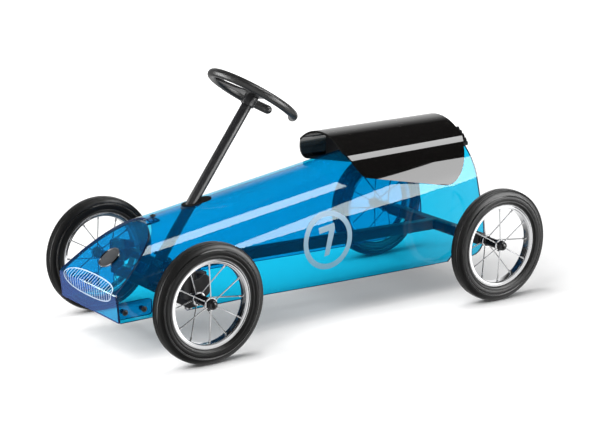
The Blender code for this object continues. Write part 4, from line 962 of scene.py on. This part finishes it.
def flap(side):
    """A flap inside one wall: flat (y, z) stood up at the wall's inner face."""
    low, high, rear, rounding = 0.076, 0.106, FOLD_Y + 0.077, 0.006
    front = nose_front_y(low) + SHEET
    rounded = [*arc((rear - rounding, low + rounding), rounding, -pi / 2, 0, 6),
               *arc((rear - rounding, high - rounding), rounding, 0, pi / 2, 6)]
    loops = [np.array([(front, low), *rounded, (front, high)])]
    loops += [circle((y, SCREW_HEIGHT), SCREW_HOLE) for y in SCREW_PLACES]
    outline, *holes = (loop[:, ::side] for loop in loops)

    def stand(flat):
        outward = np.tile((side, 0.0, 0.0), (len(flat), 1))
        wall_x = np.full(len(flat), side * (BODY_HALF_WIDTH - SHEET - GAP))
        return np.column_stack([wall_x, flat[:, ::side]]), outward

    return filled(outline, holes), stand, SHEET


def nose_sheet():
    hole = circle((0, nose_v(RIDGE_SCREW_Y + RIDGE_SCREW_LEAN)), SCREW_HOLE)
    lines_v = np.concatenate([nose_run[1:-1], np.arange(0.01, nose_run[-1], 0.012)])
    flat = filled(nose_outline(), [hole], np.arange(-0.09, 0.1, 0.018), lines_v)
    panels = [(flat, lambda flat: bend_nose(flat, -INK - SINK), SHEET - INK - SINK), flap(1), flap(-1)]
    sheet("nose", panels, clear_blue, clear_blue_edge, "clear_blue", "nose_panel")


nose_sheet()

# %% [markdown]
# ## The seat
#
# The seat is a third sheet, black and glossy, bent over a slightly wider arch that lies level. Its sides
# are flaps whose lower edge falls towards the rear. Two ribbed strips hold it over the body: each is a
# crescent between the two arches, with small ribs round its outside.

# %% The seat sheet
SEAT_FRONT_Y = REAR_AXLE_Y - 0.2854


def seat_side():
    """Side-view points (y, z) from over the seat's front edge, along the flap, to over its rear edge."""
    rear, front, over = REAR_AXLE_Y, SEAT_FRONT_Y, SEAT_TOP + 0.02
    corner, flap_start = (front, SEAT_TOP - 0.026), (front + 0.0354, SEAT_TOP - 0.075)
    flap_low, rear_corner = (rear - 0.066, SEAT_TOP - 0.1145), (rear + 0.002, SEAT_TOP - 0.0317)
    ahead = bezier(corner, (front + 0.0096, SEAT_TOP - 0.0348), (front + 0.0184, SEAT_TOP - 0.068), flap_start)
    behind = bezier(flap_low, (rear - 0.0218, SEAT_TOP - 0.1240), (rear - 0.014, SEAT_TOP - 0.0697),
                    rear_corner, steps=40)
    return np.array([(front, over), *ahead, *behind, (rear_corner[0], over)]), [corner]


def seat_sheet():
    lines_u = np.linspace(-seat_arch.quarter, seat_arch.quarter, 81)
    flat = filled(seat_arch.laid_flat(*seat_side()), (), lines_u, np.arange(0.07, 0.34, 0.02))
    sheet("seat_top", [(flat, seat_arch.bend, SHEET)], seat_gloss, seat_gloss, "seat_gloss", "seat")


seat_sheet()


# %% The ribbed strips under it
RIB_PITCH, RIB_DEPTH = 0.0095, 0.0038
STRIP_LENGTH = 0.024
CUT_FROM, CUT_OVER = 0.45, 0.12


def ribbed_strip(front, half_width, cut_back):
    """A crescent: outside a ribbed arch under the seat, inside the body's arch at the same x and y.

    Its ribs run from front to rear, and the radius dips by RIB_DEPTH * sin^4 between two. The rear edge is
    cut back in the middle, and an s-curve between two shares of the half width leads to its full length.
    """
    radius = SEAT_RADIUS - SHEET - GAP
    reach = np.arcsin(half_width / radius)
    ribs = round(2 * reach * radius / RIB_PITCH)
    share = np.linspace(-1, 1, ribs * 10 + 1)[:, None]
    dip = RIB_DEPTH * np.sin((share + 1) * ribs * pi / 2) ** 4
    ease = np.clip((abs(share) - CUT_FROM) / CUT_OVER, 0, 1)
    length = STRIP_LENGTH - cut_back * (1 - ease**2 * (3 - 2 * ease))
    y = front + length * np.linspace(0, 1, 7)
    x = radius * np.sin(share * reach)
    top = seat_arch.start[2] + (radius - dip) * np.cos(share * reach)
    height = np.sqrt((BODY_HALF_WIDTH + GAP) ** 2 - x**2) / cos(RIDGE_SLOPE)
    under = body_arch.start[2] + (y - FRONT_AXLE_Y) * tan(RIDGE_SLOPE) + height
    x, y, top = np.broadcast_arrays(x, y, top)
    return loft(np.concatenate([np.stack([x, y, top], -1), np.stack([x, y, under], -1)[:, [-1, 0]]], 1))


for end, front, half_width, cut_back in (("rear", REAR_AXLE_Y - 0.0110, 0.0800, 0.0160),
                                         ("front", REAR_AXLE_Y - 0.2254, 0.0660, 0.0)):
    strip = ribbed_strip(front, half_width, cut_back)
    piece("seat_strip_" + end, [strip], support_black, "root", "support_black", "seat_support_" + end)

# %% [markdown]
# ## The steering ring
#
# The ring is open towards the driver. Its tube follows an arc round the column's top: at the angle a from
# straight behind, the middle of the tube is radius * (cos a behind, sin a to the left). At both ends the
# tube's thickness falls to nothing along a quarter circle, so it closes with a round tip. The ring lies a
# little flatter than square to the column.

# %% Steering ring
RING_RADIUS, RING_TUBE = 0.0845, 0.0084
RING_HALF_OPENING = radians(23)
RING_UP, RING_BEHIND = tilted(COLUMN_TILT - radians(1.8))
on_ring = in_frame(COLUMN_FOOT + RING_CENTRE * COLUMN_AXIS, LEFT, RING_BEHIND, RING_UP)


def steering_ring(steps=150, round_steps=28):
    tip = RING_TUBE / RING_RADIUS
    lead = tip * (1 - np.cos(np.linspace(0, pi / 2, 10)))[:-1]
    start, end = RING_HALF_OPENING, 2 * pi - RING_HALF_OPENING
    angle = np.concatenate([start + lead, np.linspace(start + tip, end - tip, steps), (end - lead)[::-1]])
    from_end = np.minimum(np.minimum(angle - start, end - angle) / tip, 1)
    thick = RING_TUBE * np.sqrt(1 - (1 - from_end) ** 2)[:, None]
    across_tube, over_tube = circle((0, 0), 1, round_steps).T
    out = RING_RADIUS + thick * across_tube
    angle = angle[:, None]
    points = on_ring(np.stack([out * np.sin(angle), out * np.cos(angle), thick * over_tube], -1))
    return closed(points.reshape(-1, 3), grid_faces(len(angle), round_steps, wrap_columns=True))


piece("ring_grip", [steering_ring()], grip_black, "steering", "grip_black", "steering_ring")


# %% Hub, spokes and column
def spoke_outline():
    """Half of the swept spokes, from the front middle to the tip and back, then its mirror image."""
    front = bezier((0, -0.0209), (0.0201, -0.0221), (0.0417, -0.0350), (0.0726, -0.0490))
    rear = bezier((0.0826, -0.0190), (0.0553, -0.0060), (0.0340, -0.0021), (0, 0.0125))
    return both_halves(np.concatenate([front, rear]), False)


barrel = lathe(softened(RING_CENTRE - 0.022, RING_CENTRE + 0.0035, 0.013), COLUMN_FOOT, COLUMN_AXIS)
spokes = plate(spoke_outline(), 0.005, 0.0014, on_ring, steps=5)
tube = lathe(softened(0.043, RING_CENTRE - 0.012, COLUMN_RADIUS, 0.0008), COLUMN_FOOT, COLUMN_AXIS)
piece("hub_and_spokes", [barrel, spokes], steering_black, "steering", "steering_black", "steering_hub")
piece("column_tube", [tube], steering_black, "steering", "steering_black", "steering_column")


# %% The rubber collar on the ridge
def ridge_collar(steps=64):
    """An oval flange on the ridge and a sleeve through the sheet, both round the leaning column.

    Its loops run from the flange's outer foot over its crown to the bore, down it and back up outside the
    sleeve. A loop is a flat line (u, v), bent over the arch with its own lift.
    """
    bore_radius, half_width, half_length = COLUMN_RADIUS + GAP, 0.015, 0.0155
    oval = circle((0, 0), half_width, steps)
    oval[:, 1] += half_length * np.sign(oval[:, 1])
    oval += column_hole(COLUMN_RADIUS, steps=steps).mean(0) + (0, 0.0105)
    rows = []
    for share, lift in ((0, 0.0003), (0, 0.0008), (0.03, 0.0013), (0.10, 0.0016), (0.9, 0.0018)):
        bore = column_hole(bore_radius, lift, steps)
        rows.append(body_arch.bend(oval + share * (bore - oval), lift)[0])
    for radius, lift in ((bore_radius, 0.0014), (bore_radius, -0.0050), (SLEEVE_RADIUS, -0.0050),
                         (SLEEVE_RADIUS, 0.0003)):
        rows.append(body_arch.bend(column_hole(radius, lift, steps), lift)[0])
    return loft(np.array(rows), closed_rows=True)


piece("collar_rubber", [ridge_collar()], black_rubber, "root", "black_rubber", "column_collar")

# %% [markdown]
# ## Wheels
#
# A wheel is drawn once with its axle along X and its outer side towards +X, and then set in four places.
# The tyre is a smooth section carried round the axle, with four grooves in its tread. The rim is a shallow
# channel with rolled lips. Twelve thin spokes run by turns to an outer and an inner flange of the hub, so
# the wheel is stiff sideways. A wheel on the right side is the same one turned half round.

# %% Tyre and rim
RIM_BASE = 0.0726


def tyre_profile():
    """A closed loop of (across, radius): bead, sidewall with two raised rings, and a grooved tread."""
    bead = [(0.0, 0.0753), (0.0064, 0.0755), (0.0076, 0.0769), (0.0079, 0.0795)]
    wall = [(0.0081, 0.0813), (0.0096, 0.0816), (0.0111, 0.0818), (0.0124, 0.0828), (0.0132, 0.0845),
            (0.0135, 0.0856), (0.0143, 0.0863), (0.0143, 0.0872), (0.0136, 0.0880), (0.0140, 0.0910),
            (0.0141, 0.0945), (0.0139, 0.0966), (0.0146, 0.0973), (0.0146, 0.0979), (0.0134, 0.0991),
            (0.0129, 0.0995), (0.0126, 0.1020), (0.0117, 0.1052)]
    tread = [(0.0106, 0.1075)]
    for middle, width, depth in ((0.0086, 0.0011, 0.0019), (0.0043, 0.0010, 0.0018)):
        crown = AXLE_HEIGHT - 14 * middle**2
        tread += [(middle + width, crown), (middle + width * 0.5, crown - depth)]
        tread += [(middle - width * 0.5, crown - depth), (middle - width, crown + 0.0001)]
    tread += [(0.0008, AXLE_HEIGHT), (0.0, 0.1088)]
    return both_halves(np.concatenate([bead, curve_through(wall, 3), tread]), False)


def rim_profile():
    """A closed loop of (across, radius): rolled lip, inner face, base and the same on the other side."""
    channel = [(0.0, 0.0750), (0.0064, 0.0753), (0.0077, 0.0768), (0.0080, 0.0790)]
    lip = arc((0.0092, 0.0799), 0.0011, pi, -pi / 4, 8)
    inner = curve_through([lip[-1], (0.0096, 0.0777), (0.0094, 0.0758), (0.0091, 0.0744), (0.0082, 0.0735),
                           (0.0060, 0.0729), (0.0030, 0.0727), (0.0, RIM_BASE)], 4)
    return both_halves(np.concatenate([channel, lip, inner[1:]]), False)


# %% Hub and spokes
SPOKES, SPOKE_SEAT = 12, 0.0110
SPOKE_RADIUS, NIPPLE_RADIUS, HOOK = 0.0011, 0.0019, (0.0024, 0, 0)
FLANGES = ((-0.0313, -0.0020), (0.0067, 0.0020))


def hub_surfaces():
    """A barrel with two dished flanges, and spokes whose ends hook over them."""
    barrel = [(-0.0405, 0.0078), (-0.0400, 0.0090), (-0.0388, 0.0093), (-0.0330, 0.0093), (-0.0326, 0.0122),
              (-0.0320, 0.0128), (-0.0306, 0.0128), (-0.0300, 0.0122), (-0.0296, 0.0092), (-0.0120, 0.0087),
              (0.0050, 0.0093), (0.0054, 0.0121), (0.0060, 0.0126), (0.0074, 0.0126), (0.0080, 0.0121),
              (0.0084, 0.0103), (0.0092, 0.0098), (0.0095, 0.0090), (0.0095, 0.0080)]
    surfaces = [lathe(barrel, steps=56)]
    for number in range(SPOKES):
        angle = number * 2 * pi / SPOKES
        out = np.array((0, cos(angle), sin(angle)))
        flange, lean = FLANGES[number % 2]
        inner, outer = out * SPOKE_SEAT + (flange, 0, 0), out * (RIM_BASE + 0.0004) + (lean, 0, 0)
        surfaces.append(rod(inner, outer, SPOKE_RADIUS, 10, 0.0003))
        surfaces.append(rod(inner + 0.90 * (outer - inner), outer, NIPPLE_RADIUS, 10, 0.0006))
        surfaces.append(rod(inner - HOOK, inner + HOOK, NIPPLE_RADIUS, 10, 0.0006))
    return surfaces


# %% Four wheels
cap_profile = curve_through([(0.0, 0.0084), (0.0016, 0.0089), (0.0034, 0.0090), (0.0055, 0.0087),
                             (0.0076, 0.0076), (0.0093, 0.0055), (0.0102, 0.0028), (0.0105, 0.0)], 5)
tyre_shape = lathe(tyre_profile(), steps=120, loop=True)
rim_shape = lathe(rim_profile(), steps=96, loop=True)
hub_shapes = hub_surfaces()
cap_shape = lathe(cap_profile, (0.0095 + GAP, 0, 0), steps=40)
for end, y, middle in (("front", FRONT_AXLE_Y, 0.1905), ("rear", REAR_AXLE_Y, 0.1920)):
    for side_name, side in (("left", 1), ("right", -1)):
        place, centre = end + "_" + side_name, (side * middle, y, AXLE_HEIGHT)
        wheel, chrome = place + "_wheel", chrome_finish(centre)
        cap_body = side_name + "_knuckle" if end == "front" else "root"
        for name, solid, shapes, finish, body, slot in (
                ("tread_tyre_", "tyre_", [tyre_shape], tyre_finish(centre), wheel, "tyre_rubber"),
                ("channel_rim_", "rim_", [rim_shape], chrome, wheel, "chrome"),
                ("spoked_hub_", "hub_", hub_shapes, chrome, wheel, "chrome"),
                ("domed_cap_", "axle_cap_", [cap_shape], cap_black, cap_body, "cap_black")):
            set_in_place = [(points * (side, side, 1) + centre, faces) for points, faces in shapes]
            piece(name + place, set_in_place, finish, body, slot, solid + place)

# %% [markdown]
# ## The frame and the knuckles
#
# Under the sheet a frame of square steel tube carries the loads: a beam across at the front with an
# upright king pin at each end, a short rail on it, a long beam down the middle and a beam across at the
# rear. Where two tubes meet there is a weld: a bead whose thickness swells and sinks like a row of coins.
# A knuckle turns on each king pin. It is welded together from turned bosses, a plate and a short bar, so it
# is made from the same few shapes here.

# %% The welded frame
BEAM, TUBE = 0.016, 0.020


def weld(start, end, radius=0.0024, pitch=0.0022):
    """A bead along a joint. Its radius is radius * (0.82 + 0.18 * |cos(pi * distance / pitch)|)."""
    length, along = span(start, end)
    distance = np.linspace(0, length, int(length / pitch * 5) + 1)
    swell = radius * (0.82 + 0.18 * abs(np.cos(pi * distance / pitch)))
    swell[[0, -1]] *= 0.4
    return lathe(np.stack([distance, swell], -1), start, along, 10)


def welded_frame():
    """The tubes, and welds on both sides: x, the (y, z) of both ends and the bead's radius."""
    front, rear = FRONT_AXLE_Y, REAR_AXLE_Y
    tubes = [bar((side * 0.0005, front, 0.095), (side * 0.136, front, 0.095), BEAM, BEAM) for side in (1, -1)]
    tubes.append(bar((0, front - 0.014, 0.106), (0, front + 0.100, 0.106), TUBE, TUBE))
    tubes.append(bar((0, front + 0.0535, 0.12417), (0, rear - 0.0085, 0.11018), 0.0197, TUBE))
    tubes.append(bar((-0.1445, rear, 0.10985), (0.1445, rear, 0.10985), TUBE, TUBE))
    seams = ((0.0104, (front - 0.0074, 0.1032), (front + 0.0074, 0.1032), 0.0024),
             (0.0102, (rear - 0.0104, 0.1010), (rear - 0.0104, 0.1188), 0.0024),
             (0.0100, (front + 0.0560, 0.1160), (front + 0.0980, 0.1160), 0.0018),
             (0.0096, (front + 0.0084, 0.0965), (front + 0.0084, 0.1025), 0.0018),
             (0.0096, (front - 0.0084, 0.0965), (front - 0.0084, 0.1025), 0.0018))
    return tubes + [weld((side * x, *low), (side * x, *high), radius)
                    for x, low, high, radius in seams for side in (1, -1)]


piece("welded_frame", welded_frame(), frame_black, "root", "frame_black", "chassis_frame")


# %% Knuckles
BORE = 0.0043


def bored(low, high, radius, origin, axis=(0, 0, 1), rounding=0.0010):
    """A tube with rounded outer edges, drawn as one closed loop round its axis."""
    loop = [(low, BORE), *softened(low, high, radius, rounding), (high, BORE)]
    return lathe(loop, origin, axis, 36, loop=True)


def knuckle_surfaces(side):
    """The boss on the king pin, the socket of the stub axle, the two-lobed plate and the arm's eye."""
    pin = np.array((side * 0.124, FRONT_AXLE_Y, 0))
    web = [*arc((0.022, 0.1187), 0.015, -pi / 2, 0, 12), *arc((0.022, 0.131), 0.015, 0, pi / 2, 12)]
    web += [(0.0125, 0.1400), (0.0020, 0.1384), (0.0, 0.1370), (0.0, 0.1045), (0.002, 0.1037)]
    stand = in_frame(pin + (side * 0.0138, 0, 0), (0, 1, 0), (0, 0, 1), (side, 0, 0))
    eye = pin + (0, 0.028, 0)
    return [
        bored(0.1033, 0.151, 0.0135, pin),
        bored(0.0125, 0.0257, 0.0065, pin + (0, 0, AXLE_HEIGHT), (side, 0, 0), 0.0006),
        plate(web, 0.006, 0.0012, stand),
        lathe(softened(0.133, 0.146, 0.009, 0.001), eye, (0, 0, 1), 32),
        rod(eye + (0, 0, 0.1165), eye + (0, 0, 0.134), 0.003, 20, 0.0005),
        bar(pin + (side * 0.001, 0.0267, 0.13775), pin + (side * 0.0125, 0.0267, 0.13775), 0.0155, 0.0085,
            0.0012),
        weld(pin + (side * 0.0106, 0.0088, 0.1062), pin + (side * 0.0106, 0.0088, 0.137), 0.0020),
    ]


for side_name, side in (("left", 1), ("right", -1)):
    piece("bracket_" + side_name, knuckle_surfaces(side), frame_black, side_name + "_knuckle", "frame_black",
          "knuckle_" + side_name)

# %% [markdown]
# ## Small parts on the nose
#
# Five black screws hold the nose sheet: two through each wall and one through the ridge. A plain spun disc
# in a bright ring sits on the sloping panel. All of these are turned on a lathe, so each is one profile, and
# the nuts are six-sided plates.

# %% Screws
HEAD_RADIUS, SHANK_RADIUS = 0.0055, 0.002


def screw_surfaces(place, outward, deeper=0.0):
    """A round head with a socket, a shank through both sheets, and a nut on a washer inside."""
    dome = (GAP + 0.0009, 0) + arc((0, 0), 1, pi / 8, pi / 2, 6) * (0.0021, HEAD_RADIUS)
    low = -2 * SHEET - 2 * GAP - deeper
    profile = [(GAP + 0.0013, 0.0), (GAP + 0.0013, 0.0017), (GAP + 0.0028, 0.0018), *dome, (GAP, HEAD_RADIUS)]
    profile += [(GAP, SHANK_RADIUS), (low, SHANK_RADIUS), (low, 0.0044), (low - 0.0007, 0.0044),
                (low - 0.0007, SHANK_RADIUS), (low - 0.0035, SHANK_RADIUS), (low - 0.0035, 0.0)]
    axis, first, second = across(outward)
    stand = in_frame(place + (low - 0.0021) * axis, first, second, axis)
    nut = plate(circle((0, 0), 0.0043, 6), 0.0026, 0.0003, stand, 2)
    return [lathe(profile, place, outward, 32), nut]


screws = {side_name + "_" + order: ((side * BODY_HALF_WIDTH, y, SCREW_HEIGHT), (side, 0, 0))
          for side_name, side in (("left", 1), ("right", -1))
          for order, y in zip(("front", "rear"), SCREW_PLACES)}
screws["ridge"] = (0, RIDGE_SCREW_Y, ridge_z(RIDGE_SCREW_Y)), body_arch.up, TAB_DROP
for name, where in screws.items():
    piece("socket_screw_" + name, screw_surfaces(*where), screw_black, "root", "screw_black",
          "nose_screw_" + name)

# %% Disc and ring
DISC_PLACE = 0.0615
panel_out = (0, -sin(NOSE_SLOPE), cos(NOSE_SLOPE))
disc_centre = (0, FOLD_Y + DISC_PLACE * cos(NOSE_SLOPE), FOLD_HEIGHT + DISC_PLACE * sin(NOSE_SLOPE))
disc_profile = [(0.0001, 0.0195), (0.0013, 0.0195), (0.0016, 0.0192), (0.0017, 0.0180), (0.0019, 0.0120),
                (0.0021, 0.0)]
ring_loop = [*arc((0.0014, 0.0211), 0.0013, -pi / 2, pi / 2, 10), (0.0001, 0.0225), (0.0001, 0.0198)]
piece("spun_disc", [lathe(disc_profile, disc_centre, panel_out, 64)], spun_metal(disc_centre), "root",
      "disc_plain", "nose_disc")
piece("bright_ring", [lathe(ring_loop, disc_centre, panel_out, 64, loop=True)], chrome_finish(disc_centre),
      "root", "chrome", "nose_disc_ring")

# %% [markdown]
# ## Prints
#
# The grille on the nose, the ring mark and the numeral on the wall are screen printed: a film of ink a
# fraction of a millimetre thick. They are drawn flat on the sheet before it is bent, so here too they are
# flat shapes that go through the same bend, lifted off the sheet by their own thickness.

# %% The grille
FILM = INK - 0.0001
ROUND = 2.6
SQUARE = np.array(((-1, -1), (1, -1), (1, 1), (-1, 1)))
GRILLE_HALF_WIDTH, GRILLE_LINE, GRILLE_MARGIN = 0.085, 0.0024, 0.0085
GRILLE_LOW, GRILLE_HIGH = nose_run[fold] - 0.021, nose_run[fold] + 0.025
BARS, BAR_WIDTH = 19, 0.0013


def rounded_box(half_u, half_v, middle, steps=96):
    """A superellipse: |u / half_u|^ROUND + |v / half_v|^ROUND = 1 round the middle of its height."""
    turned = circle((0, 0), 1, steps)
    return (0, middle) + np.sign(turned) * abs(turned) ** (2 / ROUND) * (half_u, half_v)


def grille():
    """An outline of even width, and upright bars that end on the superellipse's inside."""
    middle, half_v = (GRILLE_LOW + GRILLE_HIGH) / 2, (GRILLE_HIGH - GRILLE_LOW) / 2
    within_u, within_v = GRILLE_HALF_WIDTH - GRILLE_LINE, half_v - GRILLE_LINE
    cuts = np.linspace(GRILLE_LOW, GRILLE_HIGH, 24)
    outside = rounded_box(GRILLE_HALF_WIDTH, half_v, middle)
    shapes = [filled(outside, [rounded_box(within_u, within_v, middle)], (), cuts)]
    reach_u = GRILLE_HALF_WIDTH - GRILLE_MARGIN
    for u in np.linspace(-reach_u, reach_u, BARS):
        reach = within_v * (1 - (abs(u) / within_u) ** ROUND) ** (1 / ROUND) + 0.0002
        shapes.append(filled((u, middle) + SQUARE * (BAR_WIDTH / 2, reach), (), (), cuts))
    return shapes


on_nose = [(shape, lambda flat: bend_nose(flat, -SINK), FILM) for shape in grille()]
sheet("printed_grille", on_nose, silver_ink, silver_ink, None)


# %% The ring mark and its numeral
MARK_PLACE = (FRONT_AXLE_Y + 0.323, 0.152)
MARK_OUTSIDE, MARK_INSIDE, NUMERAL_HEIGHT = 0.056, 0.0455, 0.058


def numeral_seven(centre, height):
    """A plain upright seven: a bar on top and a leg that leans. Up is towards the ridge, so -u."""
    outline = np.array([(-0.30, 0.50), (0.32, 0.50), (0.32, 0.30), (-0.02, -0.50), (-0.22, -0.50),
                        (0.09, 0.30), (-0.30, 0.30)])
    return centre + height * outline[:, ::-1] * (-1, 1)


def side_mark():
    centre = body_arch.on_wall([MARK_PLACE])[0]
    ring = filled(circle(centre, MARK_OUTSIDE, 120), [circle(centre, MARK_INSIDE, 120)], body_arch.bends)
    numeral = filled(numeral_seven(centre, NUMERAL_HEIGHT), (), body_arch.bends)
    flats = [(shape, lambda flat: body_arch.bend(flat, INK), FILM) for shape in (ring, numeral)]
    sheet("printed_mark", flats, grey_ink, grey_ink, None)


side_mark()

# %% [markdown]
# ## Solids that stay as they are
#
# The axle rods, king pins, spindle, collar, foot bearing, steering arm and steering bar are plain turned or
# sawn parts whose solids already have their true shape. They only get their finish.

# %% Finishes on the plain solids
plain_parts = dict.fromkeys(("rear_axle", "stub_axle_left", "stub_axle_right", "kingpin_left", "kingpin_right",
                             "steering_spindle", "spacer_collar"), axle_steel)
plain_parts |= dict.fromkeys(("foot_bearing", "steering_arm", "steering_bar"), frame_black)
for node_name, finish in plain_parts.items():
    solid = bpy.data.objects[node_name]
    solid.data.materials.clear()
    solid.data.materials.append(finish)
print("plain solids:", len(plain_parts))

# %% [markdown]
# ## Studio
#
# The object stands on white paper. What its gloss mirrors is arranged apart from what lights it, because
# lamps here can be kept for one group of pieces and out of sight. Two plain softboxes, in front and
# overhead, light everything and throw the soft shadow. The others hang where the mirror rule puts them: the
# view direction d leaves a surface as d - 2 (d . n) n, where n is its direction there. A long box behind
# the car and to its left makes the straight stripe on the arch, and one more makes it on the seat. A tall
# one further off gives the lower stripe, which widens towards the rear, and one near the floor lights the
# seat's flap. Cards stand round the nose, the fold, the chrome, the steering and the tyres.

# %% Lamps
def softbox(name, place, aim, along, length, width, radiance, group=None, colour=(1, 1, 1)):
    """A rectangular lamp at a place, turned to its aim, its long side along a direction.

    A lamp of one watt and one square metre shines with a radiance of 1 / pi. One for a group of pieces is
    only mirrored by them. One without a group lights all that it reaches and isn't mirrored.
    """
    lamp = linked(name, bpy.data.lights.new(name, "AREA"))
    lamp.data.shape = "RECTANGLE"
    lamp.data.size, lamp.data.size_y = length, width
    lamp.data.energy = radiance * pi * length * width
    lamp.data.color = colour
    lamp.visible_camera = False
    if group:
        lamp.visible_diffuse = False
        lamp.light_linking.receiver_collection = group
    else:
        lamp.visible_glossy = False
    back = unit(np.array(place, float) - aim)
    first = unit(along - back * (back @ along))
    lamp.matrix_world = framed(first, np.cross(back, first), back, place)
    print(name, "hangs at", place, "and is", length, "x", width, "m")


def lit_group(name, *starts, others=False):
    """The pieces whose finish starts with one of some words, or all others."""
    group = bpy.data.collections.new(name)
    for obj in list(scene.objects):
        if obj.type == "MESH" and obj.data.materials:
            if obj.data.materials[0].name.startswith(starts) != others:
                group.objects.link(obj)
    return group


body = lit_group("all_but_chrome_and_seat", "chrome", "seat", "support", others=True)
seat = lit_group("seat_only", "seat")
blue = lit_group("blue_only", "clear_blue")
chrome = lit_group("chrome_only", "chrome")
steering = lit_group("steering_only", "steering", "grip")
tyres = lit_group("tyres_only", "tyre")
lamps = (  # name, place, aim, direction of the long side, length, width, radiance, group, colour
    ("stripe_box", (0.852, 1.071, 1.90), (0.852, 1.071, 0.0), (0.12, 0.99, 0), 1.85, 0.545, 10.0, body),
    ("seat_stripe_box", (0.825, 1.578, 1.90), (0.825, 1.578, 0.0), (-0.393, 0.92, 0), 1.70, 0.49, 10.0, seat),
    ("wall_box", (2.993, 2.553, 0.703), (0.093, 0.133, 0.103), (-0.293, 0.546, -0.785), 2.53, 1.57, 9.5, body),
    ("nose_card", (-2.0, -1.9, -0.55), (0, -0.44, 0.10), (0.58, -0.81, 0), 1.9, 1.7, 1.6, blue,
     (0.32, 0.34, 1.0)),
    ("fold_card", (-0.62, -1.19, 0.42), (0.40, -0.44, 0.13), (1, 0, 0), 0.70, 0.50, 11.0, blue),
    ("flap_box", (2.74, 3.13, -0.22), (-0.16, 0.36, 0.04), (0, 0.54, 0.84), 3.2, 2.4, 9.5, seat),
    ("side_card", (2.9, 2.1, -0.2), (0.1, 0.1, 0.2), (-0.58, 0.81, 0), 4.4, 3.0, 0.8, chrome),
    ("top_card", (0.3, 0.2, 2.2), (0, 0, 0.2), (0, 1, 0), 2.4, 1.0, 0.95, chrome),
    ("steering_card", (3.2, 1.0, -0.3), (0, 0, 0.35), (0, 1, 0), 3.0, 2.4, 5.0, steering),
    ("left_card", (-1.17, -1.57, 0.5), (0, 0, 0.42), (0.81, -0.58, 0), 1.1, 1.5, 9.0, steering),
    ("tyre_card", (-0.70, -2.5, 0.25), (0.19, -0.40, 0.11), (0, 0, 1), 2.2, 0.50, 11.5, tyres),
    ("front_box", (0.5, -7.0, 7.5), (0, 0, 0), (1, 0, 0), 9.0, 7.0, 5.6),
    ("overhead_box", (-0.05, -0.1, 2.3), (-0.05, -0.1, 0), (0, 1, 0), 0.7, 0.6, 11.0),
)
for lamp in lamps:
    softbox(*lamp)


# %% Sky and floor
def studio_sky():
    """A white sky for the eye, a dim one for soft light, and darker surroundings for the gloss.

    In the gloss the sky is white up to a height of 0.38 and nearly black over 0.63. It is dark where the
    walls look, which is where 0.8 x + 0.6 y of the direction is over 0.58, and it dims the opposite way.
    Low behind the car a glow stays that the rims and the rear of the sheet mirror.
    """
    finish = Finish("studio", bpy.data.worlds)
    here = finish.node("TexCoord", output="Generated")
    x, y, z = finish.outputs("SeparateXYZ", {0: here}).values()
    rays = finish.outputs("LightPath")
    glossy, diffuse = rays["Is Glossy Ray"], rays["Is Diffuse Ray"]
    beside = x * 0.8 + y * 0.6
    around = (1 - z.over(0.38, 4.0)) * (1 - beside.over(0.25, 3.0)) * (1 - beside.over(-0.25, -1.6) * 0.9)
    rear_glow = (y * 0.788 - x * 0.616).over(0.01, 25.0) * z.over(0, -8.0) * x.over(0, 5.0)
    mirrored = around.reckon("MAXIMUM", around, rear_glow) * 0.95 + 0.03
    strength = glossy * mirrored + diffuse * (0.16 + z * 0.45) + (1 - glossy - diffuse) * 1.02
    background = finish.node("Background", (), {"Color": (1, 1, 1, 1), "Strength": strength})
    scene.world = finish.done(background, "OutputWorld")


def paper():
    """White paper with a faint tooth, burnt out to pure white further than PAPER_SEEN from the toy."""
    finish = Finish("white_paper")
    place = finish.where()
    fibres = finish.noise(place, 260.0, 4.0)
    far = finish.distance(place).over(PAPER_SEEN, 0.45)
    return finish.skin(fibres, (0.93, 0.93, 0.93), (0.96, 0.96, 0.96), 0.9, fibres, 0.0001, 0.2,
                       specular_ior_level=0.0, emission_color=finish.between(far, (0, 0, 0), (1, 1, 1)),
                       emission_strength=1.0)


PAPER_SEEN, PAPER_HALF, PAPER_Z = 0.95, 20, -0.0006
mesh = bpy.data.meshes.new("paper_floor")
mesh.from_pydata([(*corner, PAPER_Z) for corner in (SQUARE * PAPER_HALF).tolist()], [], [(0, 1, 2, 3)])
mesh.materials.append(paper())
floor = linked("paper_floor", mesh)
studio_sky()
for obj in scene.objects:
    if obj.name.startswith(("tread_tyre", "paper_floor")):
        obj.visible_glossy = False
scene.view_settings.view_transform = "Standard"
scene.cycles.transparent_max_bounces = 32
scene.cycles.max_bounces = 16

# %% [markdown]
# ## Totals
#
# The script ends by printing how many pieces and triangles it made.

# %% Totals
print("pieces:", total["pieces"], "triangles:", total["triangles"])
